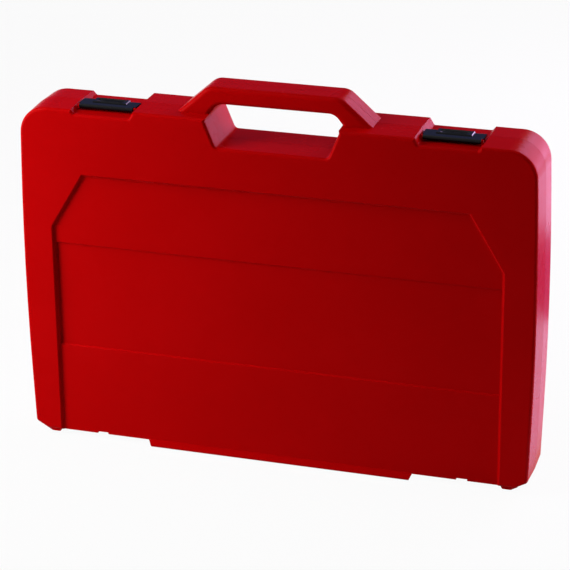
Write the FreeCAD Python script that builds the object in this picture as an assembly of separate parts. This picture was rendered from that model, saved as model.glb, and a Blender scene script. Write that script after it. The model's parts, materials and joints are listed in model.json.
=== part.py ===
import FreeCAD, Part
import math
import os

# A moulded two-shell case that stands on its hinge edge, with the socket set that it carries.
# Millimetres. X runs along the width, Y from the front (-) to the back (+), Z up.
# The origin is on the floor, under the middle of the case, in the parting plane of the two shells.

V = FreeCAD.Vector
X_AXIS = V(1, 0, 0)
Y_AXIS = V(0, 1, 0)
Z_AXIS = V(0, 0, 1)

# Case body
CASE_WIDTH = 506.4
CASE_HALF_DEPTH = 32.0
CASE_BOTTOM = 5.6
CASE_TOP = 344.0
MIDDLE_RISE = 3.0
# The sides bow out: their ends are drawn in, and two straight runs meet in a long round past the widest point
SIDE_BOW = 3.4
SIDE_PEAK = 1.76
SIDE_BOW_ROUND = 3600.0
DRAFT = 0.9
WALL = 2.6
RIM_GAP = 0.3
EDGE_ROUND = 3.0
TOP_CORNER_ROUND = 28.0
FOOT_CUT_WIDTH = 12.7
FOOT_CUT_HEIGHT = 7.1
FOOT_CUT_ROUND = 5.0

# Carrying handle and the finger opening under it
HANDLE_RISE = 28.8
HANDLE_TOP = CASE_TOP + HANDLE_RISE
HANDLE_THICK = 16.4
HANDLE_HALF_DEPTH = 18.0
HANDLE_SHIFT = -1.6
HANDLE_ROOT_HALF = 103.0
HANDLE_SHOULDER_HALF = 64.2
HANDLE_SHOULDER_ROUND = 15.0
HANDLE_EDGE_ROUND = 4.5
OPENING_TOP = HANDLE_TOP - HANDLE_THICK
OPENING_SHOULDER_HALF = 56.5
OPENING_SHOULDER_ROUND = 12.0
OPENING_WIDEST_HALF = 65.2
OPENING_WIDEST_DROP = 11.3
OPENING_WIDEST_Z = OPENING_TOP - OPENING_WIDEST_DROP
OPENING_HEIGHT = 37.8
OPENING_FLOOR_Z = OPENING_TOP - OPENING_HEIGHT
OPENING_FLOOR_HALF = 54.4
OPENING_FLOOR_ROUND = 5.0

# Recessed panel and its centre band on the front, plain panel on the back
SIDE_FRAME = 32.4
PANEL_HALF = CASE_WIDTH / 2 - SIDE_FRAME
PANEL_SHOULDER_Z = 223.6
PANEL_TOP_HALF = 188.3
PANEL_TOP_Z = 278.2
PANEL_DEPTH = 3.4
PANEL_ROUND = 2.0
BAND_LOW_Z = 99.2
BAND_HIGH_Z = 206.3
BAND_DEPTH = 1.6
BAND_INSET = 1.2
# Wall of a recess: (share of the depth, share of the rounding) from its top edge to its foot
STEP_SHAPE = ((-0.05, 1.00), (0.05, 0.62), (0.20, 0.30), (0.45, 0.08), (0.70, -0.12), (0.90, -0.42),
              (1.00, -0.80))

# Feet under the shells
FRONT_FOOT_HALF = 134.0
FRONT_FOOT_SHIFT = 2.9
FRONT_FOOT_TAPER = 3.5
FRONT_FOOT_REACH = 10.0
FRONT_FOOT_RISE = 1.8
FRONT_FOOT_LIP = 0.8
FOOT_ROUND = 1.0
SIDE_FOOT_BOTTOM = 3.2
SIDE_FOOT_OUTER = 14.0
SIDE_FOOT_RUN = 6.6
SIDE_FOOT_WIDTH = 17.0
SIDE_FOOT_DEPTH = 22.0
BACK_FOOT_INNER = 150.0
BACK_FOOT_WIDTH = 56.0
BACK_FOOT_DEPTH = 16.0
DRAIN_NOTCH_CENTRE = 182.0
DRAIN_NOTCH_WIDTH = 11.0
DRAIN_NOTCH_HEIGHT = 2.6
DRAIN_NOTCH_DEPTH = 8.0

# Hinge along the bottom edge
HINGE_Z = 2.6
KNUCKLE_R = 2.4
KNUCKLE_LENGTH = 14.0
KNUCKLE_GAP = 0.5
KNUCKLE_COUNT = 5
KNUCKLE_WEB = 7.0
HINGE_CENTRE = 98.0
HINGE_PIN_R = 1.2
RUNNING_CLEARANCE = 0.06
HINGE_PIN_END = 1.5

# Latches on top
LATCH_FROM_SIDE = 86.4
LATCH_CENTRE = CASE_WIDTH / 2 - LATCH_FROM_SIDE
LATCH_RECESS_HALF = 27.4
LATCH_RECESS_DEPTH = 4.6
# Run of the slanted ends of a latch recess for each unit of height, on the handle's side and on the outer side
LATCH_RECESS_INNER_SLOPE = 0.6
LATCH_RECESS_OUTER_SLOPE = 0.9
LATCH_RECESS_ROUND = 1.5
LATCH_BAR_HALF = 26.8
LATCH_BAR_FRONT = -18.5
LATCH_BAR_DEPTH = 6.4
LATCH_BAR_LIFT = 2.0
LATCH_BAR_HEIGHT = 4.0
LATCH_BAR_ROUND = 1.6
LATCH_PLATE_HALF = 28.4
LATCH_PLATE_THICK = 2.2
LATCH_PLATE_BACK = 2.0
LATCH_PLATE_DROP = 0.4
LATCH_HOOK_DEPTH = 2.4
LATCH_HOOK_CLEARANCE = 0.35
LATCH_TAB_HALF = 16.5
LATCH_TAB_DEPTH = 11.0
LATCH_TAB_HEIGHT = 1.0
LATCH_DISH_HALF = 13.2
LATCH_DISH_DEPTH = 1.3
LATCH_PIN_R = 0.9
LATCH_LUG_WIDTH = 1.8
LATCH_LUG_GAP = 0.3
LATCH_LUG_BACK = 1.4
CATCH_HEIGHT = 0.8
CATCH_DEPTH = 1.4

# Locating lip round the rim of the base shell
LIP_CLEARANCE = 0.4
LIP_THICK = 1.4
LIP_HEIGHT = 2.5
LIP_ROOT = 3.0

# Tool tray in the base and foam sheet in the lid
TRAY_TOP_Y = 1.0
TRAY_PLATE = 1.6
TRAY_WALL = 1.4
TRAY_EDGE_GAP = 0.5
POCKET_CLEARANCE = 0.3
POCKET_END = 1.2
POCKET_OPEN = 8.0
TRAY_PART_DROP = 4.0
TRAY_BOSS_R = 4.5
TRAY_BOSS_FROM_SIDE = 17.2
TRAY_BOSS_ROWS = (24.0, 172.0, 318.0)
TRAY_SCREW_R = 1.5
TRAY_SCREW_HEAD_R = 3.2
TRAY_SCREW_HEAD = 1.6
TRAY_SCREW_SLOT = 0.8
TRAY_SCREW_GRIP = 12.0
FOAM_GAP = 0.3
FOAM_THICK = 4.4
FOAM_EDGE = 9.0

# Tool drives: side of the square, in millimetres
HALF_DRIVE = 12.7
QUARTER_DRIVE = 6.35
SQUARE_CLEARANCE = 0.15
TOOL_AXIS_Y = 4.0

# Rows of tools, by the height of their middle
HALF_SOCKET_ROW = 275.0
QUARTER_SOCKET_ROW = 217.0
RATCHET_ROW = 160.0
EXTENSION_ROW = 100.0
LOWER_ROW = 46.0
ROW_LEFT = -212.0
RIGHT_BLOCK_LEFT = 78.0

HALF_SIZES = (10, 12, 13, 14, 17, 19, 21, 22, 24, 27)
HALF_SOCKET_GAP = 15.0
HALF_SOCKET_COLLAR = 22.0
HALF_SOCKET_LENGTH = 38.0
HALF_SOCKET_RIM = 3.0
QUARTER_SIZES = (6, 7, 8, 9, 10, 11, 12, 13)
QUARTER_SOCKET_GAP = 8.0
QUARTER_SOCKET_COLLAR = 12.0
QUARTER_SOCKET_LENGTH = 25.0
QUARTER_SOCKET_RIM = 2.0
SOCKET_RIM_FACTOR = 1.25
LARGE_SOCKET_FROM = 19
LARGE_SOCKET_STEP = 0.75
HEX_CLEARANCE = 0.2
# Shares of a socket's length (step, groove, hexagon) and of its radius or bore
SOCKET_STEP = (0.45, 0.55)
SOCKET_GROOVE = (0.42, 0.48)
SOCKET_GROOVE_DEPTH = 0.03
SOCKET_HEX_DEPTH = 0.45
SOCKET_CHAMFER = 0.06
SOCKET_BORE = 0.46

# Spark plug socket with its rubber sleeve, laid along X
PLUG_LEFT = 152.0
PLUG_SIZE = 21
PLUG_R = 14.0
PLUG_LENGTH = 68.0
PLUG_SLEEVE_R = 9.8
PLUG_SLEEVE_BORE_R = 6.0
PLUG_SLEEVE_LENGTH = 14.0
PLUG_SLEEVE_INSET = 24.0

# Extension bars, laid along X
HALF_LONG = 250.0
HALF_SHORT = 125.0
HALF_BAR_R = 6.8
HALF_COLLAR_R = 11.2
QUARTER_LONG = 100.0
QUARTER_BAR_R = 3.9
QUARTER_COLLAR_R = 6.0
QUARTER_EXTENSION_LEFT = -22.0
SQUARE_LENGTH = 1.15
BALL_SHARE = 0.14
# Lengths at the ends of an extension as shares of its drive, radii as shares of its collar
EXTENSION_COLLAR = 1.7
EXTENSION_NECK = 0.4
EXTENSION_CHAMFER = 0.1
EXTENSION_SHOULDER = 0.8

# Sliding T bar, laid along X with the drive square pointing to the back
T_BAR_LENGTH = 250.0
T_BAR_R = 5.5
T_BAR_Y = -2.0
T_HEAD_R = 11.5
T_HEAD_LENGTH = 26.0
T_SQUARE_LENGTH = 12.5
T_SEAT = 18.0
T_CHAMFER = 1.0
T_SQUARE_ROOT = 2.5

# Universal joint, laid along X: socket yoke to the left, drive yoke to the right
JOINT_LEFT = 100.0
JOINT_Y = 3.0
JOINT_R = 6.5
JOINT_SOCKET = 16.0
JOINT_EAR_REACH = 8.0
JOINT_EAR_THICK = 2.6
JOINT_EAR_HALF = 3.4
JOINT_CROSS_GAP = 0.2
JOINT_TRUNNION_R = 1.5
JOINT_NECK = 4.0
JOINT_SQUARE = 8.5
JOINT_POCKET_HALF = 20.0
JOINT_POCKET_DEPTH = 19.0
JOINT_POCKET_RIGHT = 28.0
JOINT_CORE = 0.8
JOINT_THRUST = 1.6

# Spinner handle, laid along X with its shaft to the left
SPINNER_SHAFT = 48.0
SPINNER_SHAFT_R = 4.0
SPINNER_GRIP = 96.0
SPINNER_GRIP_R = 13.0
SPINNER_TANG = 60.0
SPINNER_FLUTES = 6
SPINNER_FLUTE_R = 0.26
SPINNER_FLUTE_CENTRE = 1.16
SPINNER_FLUTE_FROM = 0.42

# Moulded grips: (share of the length, share of the radius) along the half section
GRIP_NECK = ((0.0, 0.0), (0.0, 0.62), (0.02, 0.74), (0.10, 0.80))
GRIP_RINGS = (0.14, 0.20, 0.26)
GRIP_RING = ((0.0, 0.82), (0.012, 0.74), (0.024, 0.74), (0.036, 0.82))
GRIP_BODY = ((0.40, 0.88), (0.62, 1.0), (0.84, 0.97), (0.94, 0.88), (0.985, 0.66), (1.0, 0.40), (1.0, 0.0))

# Ratchets: head, drive gear, pawl, selector and handle
HALF_RATCHET = {
    "drive": HALF_DRIVE, "y": -1.0, "square": 13.0,
    "head_r": 19.0, "head_half": 10.0, "lobe_r": 13.0, "lobe_x": 20.5,
    "gear_r": 12.4, "tooth": 1.0, "gear_half": 6.4, "boss_r": 9.4,
    "cover_r": 15.6, "cover_lobe_r": 10.4, "cover": 2.2,
    "button_r": 3.6, "plunger_r": 2.2, "button_proud": 1.8, "button_travel": 1.6,
    "pawl_r": 8.4, "pawl_back": 3.2,
    "shaft_r": 2.4, "selector_r": 6.2, "selector": 2.4, "thumb": 12.0,
    "screw_r": 0.9, "screw_head_r": 1.7, "screw_circle": 13.8, "screw_length": 5.0,
    "shank_r": 7.2, "grip_from": 112.0, "grip_r": 14.0, "grip": 124.0,
    "tang_r": 5.4, "tang": 80.0,
}
QUARTER_RATCHET = {
    "drive": QUARTER_DRIVE, "y": 1.0, "square": 8.0,
    "head_r": 11.6, "head_half": 6.2, "lobe_r": 8.2, "lobe_x": 12.8,
    "gear_r": 7.4, "tooth": 0.6, "gear_half": 3.6, "boss_r": 5.2,
    "cover_r": 9.6, "cover_lobe_r": 6.4, "cover": 1.6,
    "button_r": 2.0, "plunger_r": 1.2, "button_proud": 1.3, "button_travel": 1.2,
    "pawl_r": 5.2, "pawl_back": 2.0,
    "shaft_r": 1.5, "selector_r": 4.0, "selector": 1.8, "thumb": 7.5,
    "screw_r": 0.6, "screw_head_r": 1.1, "screw_circle": 8.45, "screw_length": 3.4,
    "shank_r": 4.4, "grip_from": 58.0, "grip_r": 9.5, "grip": 74.0,
    "tang_r": 3.2, "tang": 50.0,
}
GEAR_TEETH = 36
GEAR_CLEARANCE = 0.15
CHAMBER_CLEARANCE = 0.4
SELECTOR_REST = -25.0
PAWL_TURN = 14.0
PAWL_STEPS = 10
COVER_SCREW_TURNS = (110.0, 250.0)
BUTTON_CLEARANCE = 0.2
SELECTOR_GAP = 0.18
# Shares of the shank's length and radius, and of the selector's sizes
SHANK_WAIST_AT = 0.55
SHANK_ROOT = 1.15
SHANK_WAIST = 0.9
THUMB_HALF = 0.42
THUMB_RIDGE_FROM = 0.6
THUMB_RIDGE_HEIGHT = 1.6

# How far cutters reach past the faces they open
PAST = 1.0


def rounded_wire(corners, y):
    """Closed outline in the plane at depth y, from (x, z, corner radius) triples."""
    ends = []
    for i, (x, z, radius) in enumerate(corners):
        point = V(x, y, z)
        before = V(corners[i - 1][0], y, corners[i - 1][1])
        after = V(corners[(i + 1) % len(corners)][0], y, corners[(i + 1) % len(corners)][1])
        to_before = (before - point).normalize()
        to_after = (after - point).normalize()
        half_angle = to_before.getAngle(to_after) / 2
        if radius <= 0:
            ends.append((point, point, point))
            continue
        run = radius / math.tan(half_angle)
        centre = point + (to_before + to_after).normalize() * (radius / math.sin(half_angle))
        middle = centre + (point - centre).normalize() * radius
        ends.append((point + to_before * run, middle, point + to_after * run))
    edges = []
    for i, (start, middle, stop) in enumerate(ends):
        if (stop - start).Length > 1e-6:
            edges.append(Part.Arc(start, middle, stop).toShape())
        following = ends[(i + 1) % len(ends)][0]
        if (following - stop).Length > 1e-6:
            edges.append(Part.LineSegment(stop, following).toShape())
    return Part.Wire(edges)


def prism(corners, y0, y1):
    """Straight prism of an outline between two depths."""
    face = Part.Face(rounded_wire(corners, y0))
    return face.extrude(V(0, y1 - y0, 0))


def tapered_prism(sections):
    """Prism through (corners, depth) sections, with flat walls between them."""
    wires = [rounded_wire(corners, y) for corners, y in sections]
    return Part.makeLoft(wires, True, True)


def offset_corners(corners, distance):
    """The outline moved outwards by a distance, corner by corner (anticlockwise from the front)."""
    moved = []
    for i, (x, z, radius) in enumerate(corners):
        before = corners[i - 1]
        after = corners[(i + 1) % len(corners)]
        into = V(x - before[0], 0, z - before[1]).normalize()
        away = V(after[0] - x, 0, after[1] - z).normalize()
        normal_in = V(into.z, 0, -into.x)
        normal_out = V(away.z, 0, -away.x)
        shift = (normal_in + normal_out) * (distance / (1 + normal_in.dot(normal_out)))
        moved.append((x + shift.x, z + shift.z, max(radius + distance, 0.0) if radius else 0.0))
    return moved


def box(x0, x1, y0, y1, z0, z1):
    """Box between two corners given in any order."""
    low = V(min(x0, x1), min(y0, y1), min(z0, z1))
    return Part.makeBox(abs(x1 - x0), abs(y1 - y0), abs(z1 - z0), low)


def rod(radius, start, end):
    """Cylinder from one point to another."""
    return Part.makeCylinder(radius, (end - start).Length, start, end - start)


def bar_profile(points, x0, x1):
    """Prism along X of a (y, z) outline."""
    wire = Part.makePolygon([V(x0, y, z) for y, z in points + points[:1]])
    return Part.Face(wire).extrude(V(x1 - x0, 0, 0))


def turned(profile, origin, axis):
    """Solid of revolution about an axis of the frame, from (distance along, radius) pairs."""
    across = Y_AXIS if axis != Y_AXIS else X_AXIS
    points = [origin + axis * along + across * radius for along, radius in profile]
    face = Part.Face(Part.makePolygon(points + points[:1]))
    return face.revolve(origin, axis, 360)


def mirror_x(shape):
    """Mirror image across the middle plane of the case."""
    return shape.mirror(V(0, 0, 0), X_AXIS)


def both_sides(shape):
    """The shape and its mirror image on the other half of the case."""
    return [shape, mirror_x(shape)]


def fuse_all(shapes):
    """One solid from several that touch or overlap."""
    return shapes[0].multiFuse(shapes[1:]).removeSplitter() if len(shapes) > 1 else shapes[0]


def fuse_apart(shapes):
    """Solids of the union of shapes, which may lie apart."""
    if len(shapes) == 1:
        return shapes[0].Solids
    return shapes[0].multiFuse(shapes[1:]).Solids


def case_outline(inset):
    """Front outline of the case body without the handle, higher in the middle, moved in by an inset."""
    half = CASE_WIDTH / 2 - SIDE_BOW
    peak = CASE_WIDTH / 2 + SIDE_PEAK
    peak_z = (CASE_BOTTOM + FOOT_CUT_HEIGHT + CASE_TOP) / 2
    middle_top = CASE_TOP + MIDDLE_RISE
    corners = [
        (-half + FOOT_CUT_WIDTH, CASE_BOTTOM, FOOT_CUT_ROUND),
        (half - FOOT_CUT_WIDTH, CASE_BOTTOM, FOOT_CUT_ROUND),
        (half, CASE_BOTTOM + FOOT_CUT_HEIGHT, FOOT_CUT_ROUND),
        (peak, peak_z, SIDE_BOW_ROUND),
        (half, CASE_TOP, TOP_CORNER_ROUND),
        (LATCH_CENTRE, CASE_TOP, 0.0),
        (LATCH_CENTRE, middle_top, 0.0),
        (-LATCH_CENTRE, middle_top, 0.0),
        (-LATCH_CENTRE, CASE_TOP, 0.0),
        (-half, CASE_TOP, TOP_CORNER_ROUND),
        (-peak, peak_z, SIDE_BOW_ROUND),
        (-half, CASE_BOTTOM + FOOT_CUT_HEIGHT, FOOT_CUT_ROUND),
    ]
    return offset_corners(corners, -inset)


def opening_outline(grow):
    """Outline of the finger opening, which dips into the top of the case."""
    corners = [
        (-OPENING_FLOOR_HALF, OPENING_FLOOR_Z, OPENING_FLOOR_ROUND),
        (OPENING_FLOOR_HALF, OPENING_FLOOR_Z, OPENING_FLOOR_ROUND),
        (OPENING_WIDEST_HALF, OPENING_WIDEST_Z, OPENING_FLOOR_ROUND),
        (OPENING_SHOULDER_HALF, OPENING_TOP, OPENING_SHOULDER_ROUND),
        (-OPENING_SHOULDER_HALF, OPENING_TOP, OPENING_SHOULDER_ROUND),
        (-OPENING_WIDEST_HALF, OPENING_WIDEST_Z, OPENING_FLOOR_ROUND),
    ]
    return offset_corners(corners, grow)


def handle_outline():
    """Outline of the handle arch, rooted in the top of the case."""
    root = CASE_TOP - 2 * WALL
    return [
        (HANDLE_SHIFT - HANDLE_ROOT_HALF, root, 0.0),
        (HANDLE_SHIFT + HANDLE_ROOT_HALF, root, 0.0),
        (HANDLE_SHIFT + HANDLE_SHOULDER_HALF, HANDLE_TOP, HANDLE_SHOULDER_ROUND),
        (HANDLE_SHIFT - HANDLE_SHOULDER_HALF, HANDLE_TOP, HANDLE_SHOULDER_ROUND),
    ]


RECESS_FLOOR = CASE_TOP - LATCH_RECESS_DEPTH


def recess_outline(grow):
    """Outline of the latch recess in the top, on the right side, with slanted ends."""
    height = LATCH_RECESS_DEPTH + 2 * MIDDLE_RISE
    inner = LATCH_CENTRE - LATCH_RECESS_HALF
    outer = LATCH_CENTRE + LATCH_RECESS_HALF
    corners = [
        (inner, RECESS_FLOOR, LATCH_RECESS_ROUND),
        (outer, RECESS_FLOOR, LATCH_RECESS_ROUND),
        (outer + LATCH_RECESS_OUTER_SLOPE * height, RECESS_FLOOR + height, 0.0),
        (inner - LATCH_RECESS_INNER_SLOPE * height, RECESS_FLOOR + height, 0.0),
    ]
    return offset_corners(corners, grow)


def panel_outline(grow):
    """Outline of the recessed panel: upper corners cut off, open at the bottom edge."""
    below = CASE_BOTTOM - 2 * WALL
    corners = [
        (-PANEL_HALF, below, 0.0),
        (PANEL_HALF, below, 0.0),
        (PANEL_HALF, PANEL_SHOULDER_Z, 0.0),
        (PANEL_TOP_HALF, PANEL_TOP_Z, 0.0),
        (-PANEL_TOP_HALF, PANEL_TOP_Z, 0.0),
        (-PANEL_HALF, PANEL_SHOULDER_Z, 0.0),
    ]
    return offset_corners(corners, grow)


def band_outline(grow):
    """Outline of the shallow centre band in the front panel."""
    half = PANEL_HALF - BAND_INSET
    corners = [
        (-half, BAND_LOW_Z, 0.0),
        (half, BAND_LOW_Z, 0.0),
        (half, BAND_HIGH_Z, 0.0),
        (-half, BAND_HIGH_Z, 0.0),
    ]
    return offset_corners(corners, grow)


def soft_step(outline, y_high, y_low, rounding):
    """Cutter for a recess whose wall rolls over at the top and rolls out at the foot, in flat strips."""
    depth = y_low - y_high
    return tapered_prism([(outline(rounding * out), y_high + depth * along) for along, out in STEP_SHAPE])


def shell_space(inset, y0, y1):
    """Room inside the case between two depths, clear of the outline, the opening and the recesses."""
    room = prism(case_outline(inset), y0, y1)
    recess = prism(recess_outline(inset), y0, y1)
    return room.cut(Part.makeCompound([prism(opening_outline(inset), y0, y1)] + both_sides(recess)))


def shell(side, with_band):
    """One hollow half of the case: side is -1 for the front, +1 for the back."""
    y_rim = side * RIM_GAP / 2
    y_face = side * CASE_HALF_DEPTH
    y_panel = y_face - side * PANEL_DEPTH
    y_band = y_panel - side * BAND_DEPTH
    body = tapered_prism([(case_outline(0.0), y_rim), (case_outline(DRAFT), y_face)])
    past = side * PAST
    through = [prism(opening_outline(0.0), y_rim - past, y_face + past)]
    through += both_sides(prism(recess_outline(0.0), y_rim - past, y_face + past))
    body = body.cut(Part.makeCompound(through))
    rim_edges = [e for e in body.Edges if all(abs(v.Point.y - y_face) < 1e-4 for v in e.Vertexes)]
    body = body.makeFillet(EDGE_ROUND, rim_edges)

    handle = prism(handle_outline(), y_rim, side * HANDLE_HALF_DEPTH)
    handle = handle.cut(prism(opening_outline(0.0), y_rim - past, side * HANDLE_HALF_DEPTH + past))
    y_handle = side * HANDLE_HALF_DEPTH
    grip_edges = []
    for edge in handle.Edges:
        on_face = all(abs(v.Point.y - y_handle) < 1e-4 for v in edge.Vertexes)
        above_root = max(v.Point.z for v in edge.Vertexes) > CASE_TOP
        if on_face and above_root:
            grip_edges.append(edge)
    handle = handle.makeFillet(HANDLE_EDGE_ROUND, grip_edges)
    body = body.fuse(handle)

    body = body.cut(soft_step(panel_outline, y_face, y_panel, PANEL_ROUND))
    if with_band:
        body = body.cut(soft_step(band_outline, y_panel, y_band, BAND_DEPTH / 2))

    y_floor = y_face - side * WALL
    room = shell_space(WALL, y_rim - past, y_floor)
    solid_parts = [prism(panel_outline(WALL), y_panel - side * WALL, y_face)]
    if with_band:
        solid_parts.append(prism(band_outline(WALL), y_band - side * WALL, y_face))
    return body.cut(room.cut(Part.makeCompound(fuse_apart(solid_parts))))


def front_foot():
    """Long foot under the front shell: flares out of the panel and ends flush with the frame."""
    y_front = -CASE_HALF_DEPTH + DRAFT
    y_panel = -CASE_HALF_DEPTH + PANEL_DEPTH
    top = CASE_BOTTOM + FRONT_FOOT_RISE
    lip = FRONT_FOOT_LIP
    profile = [
        (y_panel + lip, top),
        (y_panel, top),
        (y_front, 2 * lip),
        (y_front, lip),
        (y_front + lip, 0.0),
        (y_front + FRONT_FOOT_REACH - lip, 0.0),
        (y_front + FRONT_FOOT_REACH, lip),
        (y_front + FRONT_FOOT_REACH, CASE_BOTTOM + WALL / 2),
        (y_panel + lip, CASE_BOTTOM + WALL / 2),
    ]
    strip = bar_profile(profile, -FRONT_FOOT_HALF, FRONT_FOOT_HALF)
    foot_half = FRONT_FOOT_HALF - FRONT_FOOT_TAPER
    ends = [
        (-foot_half, 0.0, 0.0),
        (foot_half, 0.0, 0.0),
        (FRONT_FOOT_HALF, top, 0.0),
        (-FRONT_FOOT_HALF, top, 0.0),
    ]
    return strip.common(prism(ends, -2 * CASE_HALF_DEPTH, 0.0)).translated(X_AXIS * FRONT_FOOT_SHIFT)


def side_feet(side):
    """Small feet under the ends of the side frames."""
    outer = CASE_WIDTH / 2 - SIDE_FOOT_OUTER
    inner = outer - SIDE_FOOT_WIDTH
    drop = CASE_BOTTOM - SIDE_FOOT_BOTTOM
    root = CASE_BOTTOM + WALL / 2
    corners = [
        (inner + drop, SIDE_FOOT_BOTTOM, FOOT_ROUND),
        (outer - SIDE_FOOT_RUN, SIDE_FOOT_BOTTOM, FOOT_ROUND),
        (outer, root, 0.0),
        (inner, root, 0.0),
    ]
    y_face = side * (CASE_HALF_DEPTH - EDGE_ROUND)
    return both_sides(prism(corners, y_face, y_face - side * SIDE_FOOT_DEPTH))


def back_feet():
    """Two feet under the back shell, clear of the front foot when the case is opened flat."""
    root = CASE_BOTTOM + WALL / 2
    outer = BACK_FOOT_INNER + BACK_FOOT_WIDTH
    taper = FRONT_FOOT_TAPER
    corners = [
        (BACK_FOOT_INNER + taper, 0.0, FOOT_ROUND),
        (outer - taper, 0.0, FOOT_ROUND),
        (outer, root, 0.0),
        (BACK_FOOT_INNER, root, 0.0),
    ]
    y_face = CASE_HALF_DEPTH - PANEL_DEPTH - EDGE_ROUND
    return both_sides(prism(corners, y_face - BACK_FOOT_DEPTH, y_face))


KNUCKLE_PITCH = KNUCKLE_LENGTH + KNUCKLE_GAP
HINGE_LENGTH = KNUCKLE_COUNT * KNUCKLE_PITCH - KNUCKLE_GAP
HINGE_START = HINGE_CENTRE - HINGE_LENGTH / 2


def knuckles(side):
    """Hinge knuckles of one shell: the back shell has the odd ones, the front shell those between."""
    first = 0 if side > 0 else 1
    pieces = []
    for i in range(first, KNUCKLE_COUNT, 2):
        x0 = HINGE_START + i * KNUCKLE_PITCH
        x1 = x0 + KNUCKLE_LENGTH
        web = box(x0, x1, 0.0, side * KNUCKLE_WEB, HINGE_Z, CASE_BOTTOM + WALL / 2)
        barrel = rod(KNUCKLE_R, V(x0, 0, HINGE_Z), V(x1, 0, HINGE_Z))
        bore = rod(HINGE_PIN_R + RUNNING_CLEARANCE, V(x0 - 1, 0, HINGE_Z), V(x1 + 1, 0, HINGE_Z))
        above_rim = box(x0, x1, -side * KNUCKLE_R, side * RIM_GAP / 2, CASE_BOTTOM, CASE_BOTTOM + WALL)
        pieces += both_sides(barrel.fuse(web).cut(bore).cut(above_rim))
    return pieces


def hinge_pins():
    """Steel wire pins through the knuckles, with small upset heads."""
    start = HINGE_START - HINGE_PIN_END
    end = HINGE_START + HINGE_LENGTH + HINGE_PIN_END
    wire = rod(HINGE_PIN_R, V(start, 0, HINGE_Z), V(end, 0, HINGE_Z))
    head_r = (HINGE_PIN_R + KNUCKLE_R) / 2
    head_gap = KNUCKLE_GAP / 2
    heads = [rod(head_r, V(start, 0, HINGE_Z), V(HINGE_START - head_gap, 0, HINGE_Z))]
    heads.append(rod(head_r, V(HINGE_START + HINGE_LENGTH + head_gap, 0, HINGE_Z), V(end, 0, HINGE_Z)))
    return Part.makeCompound(both_sides(fuse_all([wire] + heads)))


LATCH_BAR_BOTTOM = RECESS_FLOOR + LATCH_BAR_LIFT
LATCH_BAR_TOP = LATCH_BAR_BOTTOM + LATCH_BAR_HEIGHT
LATCH_PIVOT_Y = LATCH_BAR_FRONT + LATCH_BAR_DEPTH / 2
LATCH_PIVOT_Z = LATCH_BAR_BOTTOM + LATCH_BAR_HEIGHT / 2
LATCH_PLATE_FRONT = LATCH_BAR_FRONT + LATCH_BAR_DEPTH


def latch():
    """Right latch lever: front bar on its pin, wide plate behind, hook at the back, raised finger tab."""
    left = LATCH_CENTRE - LATCH_BAR_HALF
    right = LATCH_CENTRE + LATCH_BAR_HALF
    bar = box(left, right, LATCH_BAR_FRONT, LATCH_PLATE_FRONT + PAST, LATCH_BAR_BOTTOM, LATCH_BAR_TOP)
    front_edges = []
    for edge in bar.Edges:
        along_x = abs(edge.Vertexes[0].Point.x - edge.Vertexes[-1].Point.x) > LATCH_BAR_HALF
        if along_x and abs(edge.Vertexes[0].Point.y - LATCH_BAR_FRONT) < 1e-6:
            front_edges.append(edge)
    bar = bar.makeFillet(LATCH_BAR_ROUND, front_edges)
    plate_top = LATCH_BAR_TOP - LATCH_PLATE_DROP
    plate_low = plate_top - LATCH_PLATE_THICK
    plate = box(LATCH_CENTRE - LATCH_PLATE_HALF, LATCH_CENTRE + LATCH_PLATE_HALF,
                LATCH_PLATE_FRONT, LATCH_PLATE_BACK, plate_low, plate_top)
    plate_edges = [e for e in plate.Edges if abs(e.Vertexes[0].Point.y - e.Vertexes[-1].Point.y) < 1e-6
                   and abs(e.Vertexes[0].Point.y - LATCH_PLATE_BACK) < 1e-6
                   and abs(e.Vertexes[0].Point.z - plate_top) < 1e-6
                   and abs(e.Vertexes[-1].Point.z - plate_top) < 1e-6]
    plate = plate.makeFillet(LATCH_PLATE_THICK / 2, plate_edges)
    hook_low = RECESS_FLOOR + CATCH_HEIGHT + LATCH_HOOK_CLEARANCE
    hook = box(left, right, LATCH_PLATE_BACK - LATCH_HOOK_DEPTH, LATCH_PLATE_BACK, hook_low, plate_top - PAST)
    tab_back = LATCH_PLATE_BACK + LATCH_HOOK_DEPTH / 2
    tab_front = tab_back - LATCH_TAB_DEPTH
    tab_top = plate_top + LATCH_TAB_HEIGHT
    base_half = LATCH_TAB_HALF + LATCH_TAB_HEIGHT
    foot = rectangle_wire(LATCH_CENTRE, base_half, tab_front - LATCH_TAB_HEIGHT, tab_back, plate_top - PAST)
    crown = rectangle_wire(LATCH_CENTRE, LATCH_TAB_HALF, tab_front, tab_back, tab_top)
    tab = Part.makeLoft([foot, crown], True, True)
    dish_axis = V(LATCH_CENTRE, (tab_front + tab_back) / 2, tab_top + LATCH_TAB_DEPTH - LATCH_DISH_DEPTH)
    dish = rod(LATCH_TAB_DEPTH, dish_axis - X_AXIS * LATCH_DISH_HALF, dish_axis + X_AXIS * LATCH_DISH_HALF)
    lever = fuse_all([bar, plate, hook, tab]).cut(dish)
    pin_hole = rod(LATCH_PIN_R + RUNNING_CLEARANCE, V(left - 1, LATCH_PIVOT_Y, LATCH_PIVOT_Z),
                   V(right + 1, LATCH_PIVOT_Y, LATCH_PIVOT_Z))
    return lever.cut(pin_hole)


def rectangle_wire(x, half, y0, y1, z):
    """Level rectangle centred on x, for a loft upwards."""
    corners = [(x - half, y0), (x + half, y0), (x + half, y1), (x - half, y1), (x - half, y0)]
    return Part.makePolygon([V(corner_x, corner_y, z) for corner_x, corner_y in corners])


LUG_INNER = LATCH_BAR_HALF + LATCH_LUG_GAP


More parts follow.
